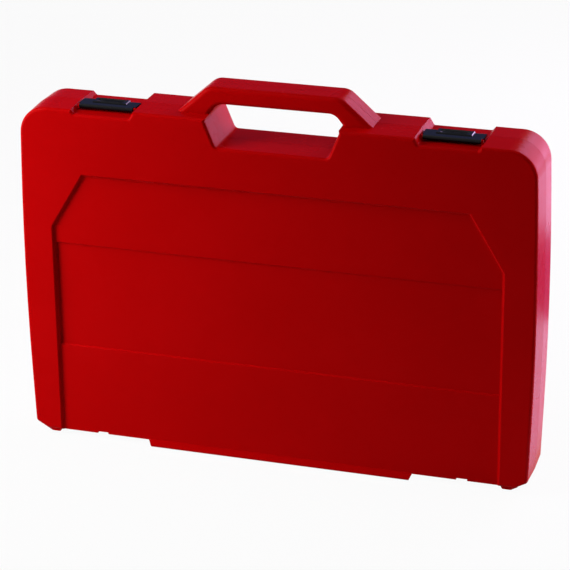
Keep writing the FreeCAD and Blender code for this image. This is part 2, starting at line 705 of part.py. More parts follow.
def latch_lugs():
    """Pairs of lugs on the front shell that hold the latch pins."""
    lugs = []
    reach = LATCH_BAR_DEPTH / 2 - LATCH_LUG_BACK
    for end in (-1, 1):
        x0 = LATCH_CENTRE + end * LUG_INNER
        x1 = x0 + end * LATCH_LUG_WIDTH
        inner = V(x0, LATCH_PIVOT_Y, LATCH_PIVOT_Z)
        outer = V(x1, LATCH_PIVOT_Y, LATCH_PIVOT_Z)
        root = RECESS_FLOOR - WALL / 2
        post = box(x0, x1, LATCH_PIVOT_Y - reach, LATCH_PIVOT_Y + reach, root, LATCH_PIVOT_Z)
        crown = rod(reach, inner, outer)
        hole = rod(LATCH_PIN_R, inner - X_AXIS * end, outer + X_AXIS * end)
        lugs += both_sides(post.fuse(crown).cut(hole))
    return lugs


def latch_pins():
    """Steel pins held in the lugs."""
    reach = LUG_INNER + LATCH_LUG_WIDTH
    pin = rod(LATCH_PIN_R, V(LATCH_CENTRE - reach, LATCH_PIVOT_Y, LATCH_PIVOT_Z),
              V(LATCH_CENTRE + reach, LATCH_PIVOT_Y, LATCH_PIVOT_Z))
    return Part.makeCompound(both_sides(pin))


def catches():
    """Low ridges on the back shell that the latch hooks sit over."""
    front = max(LATCH_PLATE_BACK - LATCH_HOOK_DEPTH, RIM_GAP)
    ridge = box(LATCH_CENTRE - LATCH_BAR_HALF, LATCH_CENTRE + LATCH_BAR_HALF, front, front + CATCH_DEPTH,
                RECESS_FLOOR - WALL / 2, RECESS_FLOOR + CATCH_HEIGHT)
    return both_sides(ridge)


def rim_lip():
    """Locating lip round the rim of the base, which enters the lid."""
    y_rim = RIM_GAP / 2
    outer = WALL + LIP_CLEARANCE
    inner = outer + LIP_THICK
    lip = shell_space(outer, -LIP_HEIGHT, y_rim)
    root = shell_space(WALL - LIP_CLEARANCE, y_rim, LIP_ROOT)
    lip = lip.cut(shell_space(inner, -LIP_HEIGHT - PAST, y_rim + PAST))
    root = root.cut(shell_space(inner, y_rim - PAST, LIP_ROOT + PAST))
    return lip.fuse(root)


TRAY_BACK_Y = TRAY_TOP_Y + TRAY_PLATE
BOSS_X = CASE_WIDTH / 2 - TRAY_BOSS_FROM_SIDE


def tray_bosses():
    """Posts inside the base shell that the tray is screwed to."""
    posts = []
    for z in TRAY_BOSS_ROWS:
        start = V(BOSS_X, TRAY_BACK_Y, z)
        post = rod(TRAY_BOSS_R, start, V(BOSS_X, CASE_HALF_DEPTH - WALL / 2, z))
        hole = rod(TRAY_SCREW_R, start, start + Y_AXIS * (TRAY_SCREW_GRIP - TRAY_PLATE))
        posts += both_sides(post.cut(hole))
    return posts


def tray_screws():
    """Pan head screws through the tray into the posts."""
    screws = []
    for z in TRAY_BOSS_ROWS:
        under_head = V(BOSS_X, TRAY_TOP_Y, z)
        shank = rod(TRAY_SCREW_R, under_head, under_head + Y_AXIS * TRAY_SCREW_GRIP)
        head = rod(TRAY_SCREW_HEAD_R, under_head - Y_AXIS * TRAY_SCREW_HEAD, under_head)
        slot = box(BOSS_X - TRAY_SCREW_HEAD_R, BOSS_X + TRAY_SCREW_HEAD_R, TRAY_TOP_Y - TRAY_SCREW_HEAD,
                   TRAY_TOP_Y - TRAY_SCREW_HEAD / 2, z - TRAY_SCREW_SLOT / 2, z + TRAY_SCREW_SLOT / 2)
        screws += both_sides(head.fuse(shank).cut(slot))
    return Part.makeCompound(screws)


def lid_shell():
    """Front shell with its foot, knuckles and latch lugs."""
    left = DRAIN_NOTCH_CENTRE - DRAIN_NOTCH_WIDTH / 2
    right = DRAIN_NOTCH_CENTRE + DRAIN_NOTCH_WIDTH / 2
    y_panel = -CASE_HALF_DEPTH + PANEL_DEPTH
    y_deep = y_panel + DRAIN_NOTCH_DEPTH
    top = CASE_BOTTOM + DRAIN_NOTCH_HEIGHT
    notch = box(left, right, -CASE_HALF_DEPTH - PAST, y_deep, CASE_BOTTOM - PAST, top)
    root = CASE_BOTTOM + WALL / 2
    backing = box(left - WALL, right + WALL, y_panel + WALL / 2, y_deep + WALL, root, top + WALL)
    shift = X_AXIS * FRONT_FOOT_SHIFT
    pieces = [shell(-1, True), front_foot()] + side_feet(-1) + knuckles(-1)
    pieces += latch_lugs() + [piece.translated(shift) for piece in both_sides(backing)]
    return fuse_all(pieces).cut(Part.makeCompound(both_sides(notch)).translated(shift))


def base_shell():
    """Back shell with its feet, knuckles, catches, rim lip and tray posts."""
    pieces = [shell(1, False), rim_lip()] + side_feet(1) + back_feet()
    pieces += knuckles(1) + catches() + tray_bosses()
    return fuse_all(pieces)


def hexagon(size, origin, axis, length):
    """Six-sided bar, given by its width across flats."""
    across = Y_AXIS if axis != Y_AXIS else X_AXIS
    side = axis.cross(across)
    radius = size / math.sqrt(3)
    points = []
    for i in range(7):
        angle = math.radians(60 * i)
        points.append(origin + across * (radius * math.cos(angle)) + side * (radius * math.sin(angle)))
    return Part.Face(Part.makePolygon(points)).extrude(axis * length)


def square_bar(side, origin, axis, length):
    """Square bar centred on an axis of the frame."""
    half = side / 2
    spread = V(half, half, half) - axis * half
    low = origin - spread
    high = origin + spread + axis * length
    return box(low.x, high.x, low.y, high.y, low.z, high.z)


def socket_body(size, drive, rim_r, collar_r, length, origin, axis):
    """Socket with its drive square at the origin end and its hexagon mouth at the far end."""
    chamfer = SOCKET_CHAMFER * collar_r
    profile = [(0, 0), (0, collar_r - chamfer), (chamfer, collar_r)]
    if rim_r < collar_r:
        profile += [(length * SOCKET_STEP[0], collar_r), (length * SOCKET_STEP[1], rim_r)]
    else:
        groove = SOCKET_GROOVE_DEPTH * length
        start = SOCKET_GROOVE[0] * length
        stop = SOCKET_GROOVE[1] * length
        profile += [(start, collar_r), (start + groove, collar_r - groove)]
        profile += [(stop, collar_r - groove), (stop + groove, collar_r)]
    profile += [(length - chamfer, rim_r), (length, rim_r - chamfer), (length, 0)]
    body = turned(profile, origin, axis)
    mouth_depth = SOCKET_HEX_DEPTH * length
    hole = square_bar(drive + 2 * SQUARE_CLEARANCE, origin - axis * PAST, axis, PAST + SQUARE_LENGTH * drive)
    through = rod(SOCKET_BORE * min(drive, size), origin - axis * PAST, origin + axis * (length + PAST))
    mouth = hexagon(size + HEX_CLEARANCE, origin + axis * (length - mouth_depth), axis, mouth_depth + PAST)
    return body.cut(Part.makeCompound(fuse_apart([hole, through, mouth])))


def socket_row(sizes, drive, collar, length, rim, gap, row_z):
    """Sockets side by side, mouths up; gives (size, shape, x, radius, low z, high z) for each."""
    row = []
    x = ROW_LEFT
    for size in sizes:
        rim_r = (SOCKET_RIM_FACTOR * size + rim) / 2
        collar_r = max(collar / 2, rim_r)
        tall = length + max(size - LARGE_SOCKET_FROM, 0) * LARGE_SOCKET_STEP
        x += collar_r
        low = row_z - tall / 2
        shape = socket_body(size, drive, rim_r, collar_r, tall, V(x, TOOL_AXIS_Y, low), Z_AXIS)
        row.append((size, shape, x, collar_r, low, low + tall))
        x += collar_r + gap
    return row


def spark_plug_set():
    """Deep socket and the rubber sleeve inside it that grips the plug."""
    origin = V(PLUG_LEFT, TOOL_AXIS_Y, QUARTER_SOCKET_ROW)
    body = socket_body(PLUG_SIZE, HALF_DRIVE, PLUG_R, PLUG_R, PLUG_LENGTH, origin, X_AXIS)
    seat = origin + X_AXIS * PLUG_SLEEVE_INSET
    body = body.cut(rod(PLUG_SLEEVE_R, seat, seat + X_AXIS * (PLUG_LENGTH - PLUG_SLEEVE_INSET)))
    end = seat + X_AXIS * PLUG_SLEEVE_LENGTH
    sleeve = rod(PLUG_SLEEVE_R, seat, end)
    sleeve = sleeve.cut(rod(PLUG_SLEEVE_BORE_R, seat - X_AXIS * PAST, end + X_AXIS * PAST))
    return body, sleeve


def ball_in_square(drive, square_start):
    """Detent ball in the front face of a drive square along X, and the seat that holds it."""
    radius = BALL_SHARE * drive
    centre = square_start + X_AXIS * (SQUARE_LENGTH * drive / 2) - Y_AXIS * (drive / 2 - radius / 2)
    return Part.makeSphere(radius, centre), Part.makeSphere(radius + RUNNING_CLEARANCE, centre)


def extension(drive, length, bar_r, collar_r, origin):
    """Extension bar: socket end at the origin, drive square with a detent ball at the far end."""
    square = SQUARE_LENGTH * drive
    collar = EXTENSION_COLLAR * drive
    neck = EXTENSION_NECK * drive
    chamfer = EXTENSION_CHAMFER * collar_r
    shoulder_r = EXTENSION_SHOULDER * collar_r
    end = length - square
    profile = [(0, 0), (0, collar_r - chamfer), (chamfer, collar_r), (collar, collar_r)]
    profile += [(collar + neck, bar_r), (end - 2 * neck, bar_r)]
    profile += [(end - neck, shoulder_r), (end, shoulder_r), (end, 0)]
    tip = origin + X_AXIS * end
    bar = turned(profile, origin, X_AXIS).fuse(square_bar(drive - SQUARE_CLEARANCE, tip, X_AXIS, square))
    ball, seat = ball_in_square(drive, tip)
    hole = square_bar(drive + 2 * SQUARE_CLEARANCE, origin - X_AXIS * PAST, X_AXIS, PAST + square)
    return bar.removeSplitter().cut(hole).cut(seat), ball


def chamfered_bar(start, length, radius):
    """Round bar along X with chamfered ends."""
    inner = radius - T_CHAMFER
    far = length - T_CHAMFER
    profile = [(0, 0), (0, inner), (T_CHAMFER, radius), (far, radius), (length, inner), (length, 0)]
    return turned(profile, start, X_AXIS)


def t_bar():
    """Sliding bar and the head with the drive square that slides along it."""
    start = V(ROW_LEFT, T_BAR_Y, LOWER_ROW)
    bar = chamfered_bar(start, T_BAR_LENGTH, T_BAR_R)
    middle = start + X_AXIS * (T_BAR_LENGTH / 2)
    head = chamfered_bar(middle - X_AXIS * (T_HEAD_LENGTH / 2), T_HEAD_LENGTH, T_HEAD_R)
    root = middle + Y_AXIS * (T_HEAD_R - T_SQUARE_ROOT)
    stub = square_bar(HALF_DRIVE - SQUARE_CLEARANCE, root, Y_AXIS, T_SQUARE_ROOT + T_SQUARE_LENGTH)
    reach = X_AXIS * T_HEAD_LENGTH
    bore = rod(T_BAR_R + RUNNING_CLEARANCE, middle - reach, middle + reach)
    return bar, head.fuse(stub).removeSplitter().cut(bore)


JOINT_PIVOT = V(JOINT_LEFT + JOINT_SOCKET + JOINT_EAR_REACH, JOINT_Y, QUARTER_SOCKET_ROW)


def yoke_ears(toward, across):
    """Two ears of a yoke that reach back to the pivot, with holes for the trunnions."""
    side = toward.cross(across)
    ears = []
    for way in (-1, 1):
        outer = JOINT_PIVOT + across * (way * JOINT_R)
        inner = outer - across * (way * JOINT_EAR_THICK)
        half = side * JOINT_EAR_HALF
        root = toward * JOINT_EAR_REACH
        low = inner - half
        high = inner + half
        strap = Part.Face(Part.makePolygon([low, high, high + root, low + root, low]))
        ears.append(strap.extrude(outer - inner).fuse(rod(JOINT_EAR_HALF, inner, outer)))
    reach = across * (2 * JOINT_R)
    hole = rod(JOINT_TRUNNION_R + RUNNING_CLEARANCE, JOINT_PIVOT - reach, JOINT_PIVOT + reach)
    round_limit = rod(JOINT_R, JOINT_PIVOT - toward * JOINT_R, JOINT_PIVOT + toward * (2 * JOINT_R))
    return [ear.common(round_limit).cut(hole) for ear in ears]


def universal_joint():
    """Socket yoke, cross and drive yoke, in line at rest."""
    back = V(-1, 0, 0)
    start = V(JOINT_LEFT, JOINT_Y, QUARTER_SOCKET_ROW)
    barrel = rod(JOINT_R, start, start + X_AXIS * JOINT_SOCKET)
    hole = square_bar(QUARTER_DRIVE + 2 * SQUARE_CLEARANCE, start - X_AXIS * PAST, X_AXIS,
                      PAST + SQUARE_LENGTH * QUARTER_DRIVE)
    socket_yoke = fuse_all([barrel] + yoke_ears(back, Z_AXIS)).cut(hole)
    neck_start = JOINT_PIVOT + X_AXIS * JOINT_EAR_REACH
    neck = rod(JOINT_R, neck_start, neck_start + X_AXIS * JOINT_NECK)
    square = square_bar(QUARTER_DRIVE - SQUARE_CLEARANCE, neck_start, X_AXIS, JOINT_NECK + JOINT_SQUARE)
    drive_yoke = fuse_all([neck, square] + yoke_ears(X_AXIS, Y_AXIS))
    block = JOINT_R - JOINT_EAR_THICK - JOINT_CROSS_GAP
    core_half = JOINT_CORE * block
    cross = [square_bar(2 * core_half, JOINT_PIVOT - X_AXIS * core_half, X_AXIS, 2 * core_half)]
    for axis in (Y_AXIS, Z_AXIS):
        cross.append(rod(JOINT_TRUNNION_R, JOINT_PIVOT - axis * JOINT_R, JOINT_PIVOT + axis * JOINT_R))
        thrust = axis * block
        cross.append(rod(JOINT_TRUNNION_R * JOINT_THRUST, JOINT_PIVOT - thrust, JOINT_PIVOT + thrust))
    return socket_yoke, fuse_all(cross), drive_yoke


def grip_profile(length, radius):
    """Half section of a moulded grip with a waist, rings and a domed end, as (along, radius) pairs."""
    shares = list(GRIP_NECK)
    for ring in GRIP_RINGS:
        shares += [(ring + along, out) for along, out in GRIP_RING]
    shares += list(GRIP_BODY)
    return [(along * length, out * radius) for along, out in shares]


def spinner():
    """Screwdriver-like handle on a shaft with a drive square."""
    tip = V(RIGHT_BLOCK_LEFT, TOOL_AXIS_Y, LOWER_ROW)
    square = SQUARE_LENGTH * QUARTER_DRIVE
    grip_start = tip + X_AXIS * SPINNER_SHAFT
    tang_end = grip_start + X_AXIS * SPINNER_TANG
    shaft = rod(SPINNER_SHAFT_R, tip + X_AXIS * square, tang_end)
    stub = square_bar(QUARTER_DRIVE - SQUARE_CLEARANCE, tip, X_AXIS, square + PAST)
    shaft = shaft.fuse(stub).removeSplitter()
    tang_room = rod(SPINNER_SHAFT_R + RUNNING_CLEARANCE, grip_start - X_AXIS * PAST, tang_end)
    handle = turned(grip_profile(SPINNER_GRIP, SPINNER_GRIP_R), grip_start, X_AXIS)
    flutes = []
    for i in range(SPINNER_FLUTES):
        angle = 2 * math.pi * i / SPINNER_FLUTES
        offset = V(0, math.cos(angle), math.sin(angle)) * (SPINNER_FLUTE_CENTRE * SPINNER_GRIP_R)
        low = grip_start + X_AXIS * (SPINNER_FLUTE_FROM * SPINNER_GRIP) + offset
        flutes.append(rod(SPINNER_FLUTE_R * SPINNER_GRIP_R, low, low + X_AXIS * SPINNER_GRIP))
    return handle.cut(tang_room).cut(Part.makeCompound(flutes)), shaft


def gear_wheel(p, centre, grow):
    """Toothed wheel of a ratchet about the Y axis, grown all round for clearance cuts."""
    points = []
    for i in range(2 * GEAR_TEETH + 1):
        radius = p["gear_r"] + grow - (p["tooth"] if i % 2 else 0.0)
        angle = math.pi * i / GEAR_TEETH
        points.append(centre + V(radius * math.cos(angle), -p["gear_half"] - grow, radius * math.sin(angle)))
    return Part.Face(Part.makePolygon(points)).extrude(Y_AXIS * (2 * (p["gear_half"] + grow)))


def disc(radius, y0, y1, point):
    """Round plate or bore along Y through a point, between two depths."""
    return rod(radius, V(point.x, y0, point.z), V(point.x, y1, point.z))


def lobed_plate(head_r, lobe_r, head, lobe, y0, y1):
    """Pear-shaped plate round the head centre and the selector centre, between two depths."""
    bridge = box(head.x, lobe.x, y0, y1, head.z - lobe_r, head.z + lobe_r)
    return fuse_all([disc(head_r, y0, y1, head), disc(lobe_r, y0, y1, lobe), bridge])


def ratchet_pawl(p, centre, lobe):
    """Rocking pawl, drawn lifted just clear of the tips of the gear in every position it takes up."""
    front = centre.y - p["gear_half"]
    back = centre.y + p["gear_half"]
    pawl = disc(p["pawl_r"], front, back, lobe)
    keep = box(centre.x, lobe.x + p["pawl_back"], front, back, lobe.z - p["pawl_r"], lobe.z + p["pawl_r"])
    pawl = pawl.common(keep)
    for step in range(PAWL_STEPS + 1):
        tips = disc(p["gear_r"] + GEAR_CLEARANCE, front - PAST, back + PAST, centre)
        tips.rotate(lobe, Y_AXIS, -PAWL_TURN * step / PAWL_STEPS)
        pawl = pawl.cut(tips)
    teeth = gear_wheel(p, centre + X_AXIS * p["tooth"], GEAR_CLEARANCE)
    teeth.rotate(lobe, Y_AXIS, -PAWL_TURN / 2)
    pawl = pawl.cut(teeth)
    return pawl.cut(disc(p["shaft_r"] + RUNNING_CLEARANCE, front - PAST, back + PAST, lobe))


def ratchet_selector(p, centre, lobe, front):
    """Thumb lever in front of the cover, on the shaft that carries the pawl."""
    under = front - SELECTOR_GAP
    top = under - p["selector"]
    half = THUMB_HALF * p["selector_r"]
    tip = lobe.x + p["thumb"]
    ridge_from = lobe.x + THUMB_RIDGE_FROM * p["thumb"]
    lever = disc(p["selector_r"], top, under, lobe)
    thumb = box(lobe.x, tip, top, under, lobe.z - half, lobe.z + half)
    ridge_top = under - THUMB_RIDGE_HEIGHT * p["selector"]
    ridge = box(ridge_from, tip, ridge_top, under, lobe.z - half, lobe.z + half)
    shaft = disc(p["shaft_r"], under, centre.y + p["gear_half"], lobe)
    selector = fuse_all([lever, thumb, ridge, shaft])
    selector.rotate(lobe, Y_AXIS, SELECTOR_REST)
    return selector


def ratchet(p, left):
    """All the pieces of one reversible ratchet, head to the left and drive square to the back."""
    centre = V(left + p["head_r"], p["y"], RATCHET_ROW)
    lobe = centre + X_AXIS * p["lobe_x"]
    front = centre.y - p["head_half"]
    back = centre.y + p["head_half"]
    grip_from = p["grip_from"]
    chamber_back = centre.y + p["gear_half"] + CHAMBER_CLEARANCE
    cover_back = front + p["cover"]
    opened = front - PAST

    head = lobed_plate(p["head_r"], p["lobe_r"], centre, lobe, front, back)
    tang_end = grip_from + p["tang"]
    shank = turned([(p["lobe_x"], 0), (p["lobe_x"], SHANK_ROOT * p["shank_r"]),
                    (SHANK_WAIST_AT * grip_from, SHANK_WAIST * p["shank_r"]), (grip_from, p["shank_r"]),
                    (grip_from, p["tang_r"]), (tang_end, p["tang_r"]), (tang_end, 0)], centre, X_AXIS)
    screw_points = []
    for turn in COVER_SCREW_TURNS:
        angle = math.radians(turn)
        screw_points.append(centre + V(math.cos(angle), 0, math.sin(angle)) * p["screw_circle"])
    screw_end = front + p["screw_length"]
    room = [disc(p["gear_r"] + CHAMBER_CLEARANCE, opened, chamber_back, centre),
            disc(p["pawl_r"] + CHAMBER_CLEARANCE, opened, chamber_back, lobe),
            disc(p["boss_r"] + RUNNING_CLEARANCE, opened, back + PAST, centre),
            lobed_plate(p["cover_r"] + RUNNING_CLEARANCE, p["cover_lobe_r"] + RUNNING_CLEARANCE,
                        centre, lobe, opened, cover_back)]
    room += [disc(p["screw_r"], opened, screw_end, point) for point in screw_points]
    body = fuse_all([head, shank]).cut(Part.makeCompound(fuse_apart(room)))

    cover = lobed_plate(p["cover_r"], p["cover_lobe_r"], centre, lobe, front, cover_back)
    under_head = front + p["cover"] / 2
    holes = [disc(p["button_r"] + BUTTON_CLEARANCE, opened, cover_back + PAST, centre),
             disc(p["shaft_r"] + RUNNING_CLEARANCE, opened, cover_back + PAST, lobe)]
    screws = []
    for point in screw_points:
        holes.append(disc(p["screw_r"], opened, cover_back + PAST, point))
        holes.append(disc(p["screw_head_r"], opened, under_head, point))
        shank_of_screw = disc(p["screw_r"], front, screw_end, point)
        screws.append(shank_of_screw.fuse(disc(p["screw_head_r"], front, under_head, point)).removeSplitter())
    cover = cover.cut(Part.makeCompound(fuse_apart(holes)))

    square_start = back + CHAMBER_CLEARANCE
    square_end = square_start + p["square"]
    gear_front = centre.y - p["gear_half"]
    gear = fuse_all([gear_wheel(p, centre, 0.0), disc(p["boss_r"], centre.y, square_start, centre),
                     square_bar(p["drive"] - SQUARE_CLEARANCE, centre, Y_AXIS, square_end - centre.y)])
    counterbore = gear_front + 2 * p["button_travel"] + p["button_r"]
    plunger_end = square_end - p["drive"] / 3
    ball_r = BALL_SHARE * p["drive"]
    ball_centre = V(centre.x - p["drive"] / 2 + ball_r / 2, square_start + p["square"] / 2, centre.z)
    bores = [disc(p["button_r"] + RUNNING_CLEARANCE, gear_front - PAST, counterbore, centre),
             disc(p["plunger_r"] + RUNNING_CLEARANCE, gear_front, plunger_end, centre)]
    gear = gear.cut(Part.makeCompound(fuse_apart(bores)))
    gear = gear.cut(Part.makeSphere(ball_r + RUNNING_CLEARANCE, ball_centre))
    room_to_press = p["button_travel"] + CHAMBER_CLEARANCE
    button_back = counterbore - room_to_press
    button = fuse_all([disc(p["button_r"], front - p["button_proud"], button_back, centre),
                       disc(p["plunger_r"], button_back, plunger_end - room_to_press, centre)])

    grip_start = centre + X_AXIS * grip_from
    grip = turned(grip_profile(p["grip"], p["grip_r"]), grip_start, X_AXIS)
    tang_room = rod(p["tang_r"] + RUNNING_CLEARANCE, grip_start - X_AXIS * PAST, centre + X_AXIS * tang_end)
    grip = grip.cut(tang_room)
    pieces = {
        "body": body, "grip": grip, "gear": gear, "cover": cover, "button": button,
        "pawl": ratchet_pawl(p, centre, lobe),
        "selector": ratchet_selector(p, centre, lobe, front),
        "screws": Part.makeCompound(screws),
        "ball": Part.makeSphere(ball_r, ball_centre),
    }
    lobe_half = p["lobe_r"] + POCKET_CLEARANCE
    grip_end = grip_start.x + p["grip"] + POCKET_CLEARANCE
    pockets = [
        well(centre.x, centre.z, p["head_r"] + POCKET_CLEARANCE, back + POCKET_CLEARANCE),
        well(centre.x, centre.z, p["drive"], square_end + POCKET_CLEARANCE),
        bay(centre.x, lobe.x + lobe_half, lobe.z - lobe_half, lobe.z + lobe_half, back + POCKET_CLEARANCE),
        trough_x(lobe.x, grip_start.x, centre.y, centre.z, SHANK_ROOT * p["shank_r"] + POCKET_CLEARANCE),
        trough_x(grip_start.x, grip_end, centre.y, centre.z, p["grip_r"] + POCKET_CLEARANCE),
    ]
    return pieces, pockets


POCKET_ABOVE = TRAY_TOP_Y - POCKET_OPEN


def trough_x(x0, x1, y, z, radius):
    """Round-bottomed pocket along X; grow thickens it for the tray's wall."""
    def shape(grow):
        r = radius + grow
        low = rod(r, V(x0 - grow, y, z), V(x1 + grow, y, z))
        return low.fuse(box(x0 - grow, x1 + grow, y, POCKET_ABOVE, z - r, z + r))
    return shape


def trough_z(x, y, z0, z1, radius):
    """Round-bottomed pocket along Z."""
    def shape(grow):
        r = radius + grow
        low = rod(r, V(x, y, z0 - grow), V(x, y, z1 + grow))
        return low.fuse(box(x - r, x + r, y, POCKET_ABOVE, z0 - grow, z1 + grow))
    return shape


def well(x, z, radius, floor):
    """Round pocket sunk straight into the tray."""
    def shape(grow):
        return rod(radius + grow, V(x, POCKET_ABOVE, z), V(x, floor + grow, z))
    return shape


def bay(x0, x1, z0, z1, floor):
    """Square-cornered pocket sunk straight into the tray."""
    def shape(grow):
        return box(x0 - grow, x1 + grow, POCKET_ABOVE, floor + grow, z0 - grow, z1 + grow)
    return shape


def base_tray(pockets):
    """Thin formed tray: a plate with a walled pocket for every tool."""
    inset = WALL + LIP_CLEARANCE + LIP_THICK + TRAY_EDGE_GAP
    plate = shell_space(inset, TRAY_TOP_Y, TRAY_BACK_Y)
    below = box(-CASE_WIDTH, CASE_WIDTH, TRAY_TOP_Y, CASE_HALF_DEPTH, 0.0, CASE_TOP)
    outside = [shape(TRAY_WALL).common(below) for shape in pockets]
    inside = [shape(0.0) for shape in pockets]
    for z in TRAY_BOSS_ROWS:
        boss = V(BOSS_X, TRAY_TOP_Y, z)
        inside += both_sides(disc(TRAY_SCREW_R + RUNNING_CLEARANCE, POCKET_ABOVE, CASE_HALF_DEPTH, boss))
    body = plate.multiFuse(outside)
    return body.cut(Part.makeCompound(fuse_apart(inside))).removeSplitter()


def parted(body, cells):
    """The body parted into the solids that lie in each cell, row by row."""
    strips = {}
    solids = []
    for cell in cells:
        rows = cell[4:]
        if rows not in strips:
            strips[rows] = body.common(box(-CASE_WIDTH, CASE_WIDTH, TRAY_TOP_Y, CASE_HALF_DEPTH, *rows))
        solids += strips[rows].common(box(*cell)).Solids
    return Part.makeCompound(solids)


def cells_between(x_cuts, y_cuts, z_cuts):
    """Boxes between neighbouring cuts along X, Y and Z, with the cuts along X kept inside the case."""
    half = CASE_WIDTH / 2
    xs = [-half] + [x for x in sorted(set(x_cuts)) if -half < x < half] + [half]
    cells = []
    for x0, x1 in zip(xs, xs[1:]):
        for y0, y1 in zip(y_cuts, y_cuts[1:]):
            for z0, z1 in zip(z_cuts, z_cuts[1:]):
                cells.append((x0, x1, y0, y1, z0, z1))
    return cells


def tray_cells(half_row, quarter_row, troughs):
    """Cells that part the tray along the axis and the ends of every pocket, so no piece bridges a tool."""
    through = (TRAY_TOP_Y, CASE_HALF_DEPTH)
    stepped = (TRAY_TOP_Y, TOOL_AXIS_Y + TRAY_PART_DROP, CASE_HALF_DEPTH)
    inset = WALL + LIP_CLEARANCE + LIP_THICK + TRAY_EDGE_GAP
    ledge = OPENING_FLOOR_Z - inset
    half_xs, half_low, half_high = half_row
    quarter_xs, quarter_low, quarter_high = quarter_row
    extension_low = (LOWER_ROW + EXTENSION_ROW) / 2
    extension_high = (EXTENSION_ROW + RATCHET_ROW) / 2
    ends = {row: [] for row in (QUARTER_SOCKET_ROW, EXTENSION_ROW)}
    for x0, x1, row in troughs:
        ends[row] += [x0, x1]
    sockets_end = min(ends[QUARTER_SOCKET_ROW])
    cells = cells_between([RIGHT_BLOCK_LEFT], through, (0.0, LOWER_ROW, extension_low))
    cells += cells_between(ends[EXTENSION_ROW], stepped, (extension_low, EXTENSION_ROW, extension_high))
    cells += cells_between([RIGHT_BLOCK_LEFT], through, (extension_high, RATCHET_ROW, quarter_low))
    beside = cells_between(quarter_xs + [sockets_end], stepped, (quarter_low, quarter_high))
    cells += [cell for cell in beside if cell[0] < sockets_end]
    beside = cells_between(ends[QUARTER_SOCKET_ROW], stepped, (quarter_low, QUARTER_SOCKET_ROW, quarter_high))
    cells += [cell for cell in beside if cell[0] >= sockets_end]
    cells += cells_between([], through, (quarter_high, half_low))
    cells += cells_between(half_xs, stepped, (half_low, half_high))
    return cells + cells_between([0.0], through, (half_high, ledge, CASE_TOP))


def lid_foam():
    """Foam sheet in the lid that keeps the tools in their pockets."""
    back = -CASE_HALF_DEPTH + PANEL_DEPTH + BAND_DEPTH + WALL + FOAM_GAP
    return shell_space(FOAM_EDGE, back, back + FOAM_THICK)


def save(shape, node):
    """Write one piece to its file and say what it is."""
    shape.exportStep("parts/" + node + ".step")
    print("%-28s solids %2d  valid %s  %.1f mm3" % (node, len(shape.Solids), shape.isValid(), shape.Volume))


os.makedirs("parts", exist_ok=True)
pockets = []

save(lid_shell(), "lid_shell")
save(base_shell(), "base_shell")
save(hinge_pins(), "hinge_pins")
save(mirror_x(latch()), "latch_left")
save(latch(), "latch_right")
save(latch_pins(), "latch_pins")
save(tray_screws(), "tray_screws")
save(lid_foam(), "lid_foam")

rows = (
    ("half", HALF_SIZES, HALF_DRIVE, HALF_SOCKET_COLLAR, HALF_SOCKET_LENGTH, HALF_SOCKET_RIM,
     HALF_SOCKET_GAP, HALF_SOCKET_ROW),
    ("quarter", QUARTER_SIZES, QUARTER_DRIVE, QUARTER_SOCKET_COLLAR, QUARTER_SOCKET_LENGTH,
     QUARTER_SOCKET_RIM, QUARTER_SOCKET_GAP, QUARTER_SOCKET_ROW),
)
row_cuts = {}
troughs = []
for drive_name, *row_sizes in rows:
    row = socket_row(*row_sizes)
    row_low = min(low for size, shape, x, radius, low, high in row) - POCKET_END
    row_high = max(high for size, shape, x, radius, low, high in row) + POCKET_END
    row_cuts[drive_name] = ([x for size, shape, x, radius, low, high in row], row_low, row_high)
    for size, shape, x, radius, low, high in row:
        save(shape, "%s_socket_%dmm" % (drive_name, size))
        pockets.append(trough_z(x, TOOL_AXIS_Y, row_low, row_high, radius + POCKET_CLEARANCE))

plug_socket, plug_sleeve = spark_plug_set()
save(plug_socket, "spark_plug_socket")
save(plug_sleeve, "spark_plug_sleeve")
plug_ends = (PLUG_LEFT - POCKET_END, PLUG_LEFT + PLUG_LENGTH + POCKET_END)
pockets.append(trough_x(*plug_ends, TOOL_AXIS_Y, QUARTER_SOCKET_ROW, PLUG_R + POCKET_CLEARANCE))
troughs.append((*plug_ends, QUARTER_SOCKET_ROW))

half_bar = (HALF_DRIVE, HALF_BAR_R, HALF_COLLAR_R)
quarter_bar = (QUARTER_DRIVE, QUARTER_BAR_R, QUARTER_COLLAR_R)
bars = (
    ("half_extension_long", half_bar, HALF_LONG, ROW_LEFT, EXTENSION_ROW),
    ("half_extension_short", half_bar, HALF_SHORT, RIGHT_BLOCK_LEFT, EXTENSION_ROW),
    ("quarter_extension", quarter_bar, QUARTER_LONG, QUARTER_EXTENSION_LEFT, QUARTER_SOCKET_ROW),
)
balls = []
for node, (drive, bar_r, collar_r), length, left, row in bars:
    bar, ball = extension(drive, length, bar_r, collar_r, V(left, TOOL_AXIS_Y, row))
    save(bar, node)
    balls.append(ball)
    bar_ends = (left - POCKET_END, left + length + POCKET_END)
    pockets.append(trough_x(*bar_ends, TOOL_AXIS_Y, row, collar_r + POCKET_CLEARANCE))
    troughs.append((*bar_ends, row))
save(Part.makeCompound(balls), "extension_balls")

bar, head = t_bar()
save(bar, "t_bar_rod")
save(head, "t_bar_head")
bar_end = ROW_LEFT + T_BAR_LENGTH
head_room = T_HEAD_R + 2 * POCKET_CLEARANCE
pockets.append(trough_x(ROW_LEFT - POCKET_CLEARANCE, bar_end + POCKET_CLEARANCE, T_BAR_Y, LOWER_ROW,
                        T_BAR_R + POCKET_CLEARANCE))
pockets.append(bay(ROW_LEFT + T_SEAT, bar_end - T_SEAT, LOWER_ROW - head_room, LOWER_ROW + head_room,
                   T_BAR_Y + head_room + T_SQUARE_LENGTH))

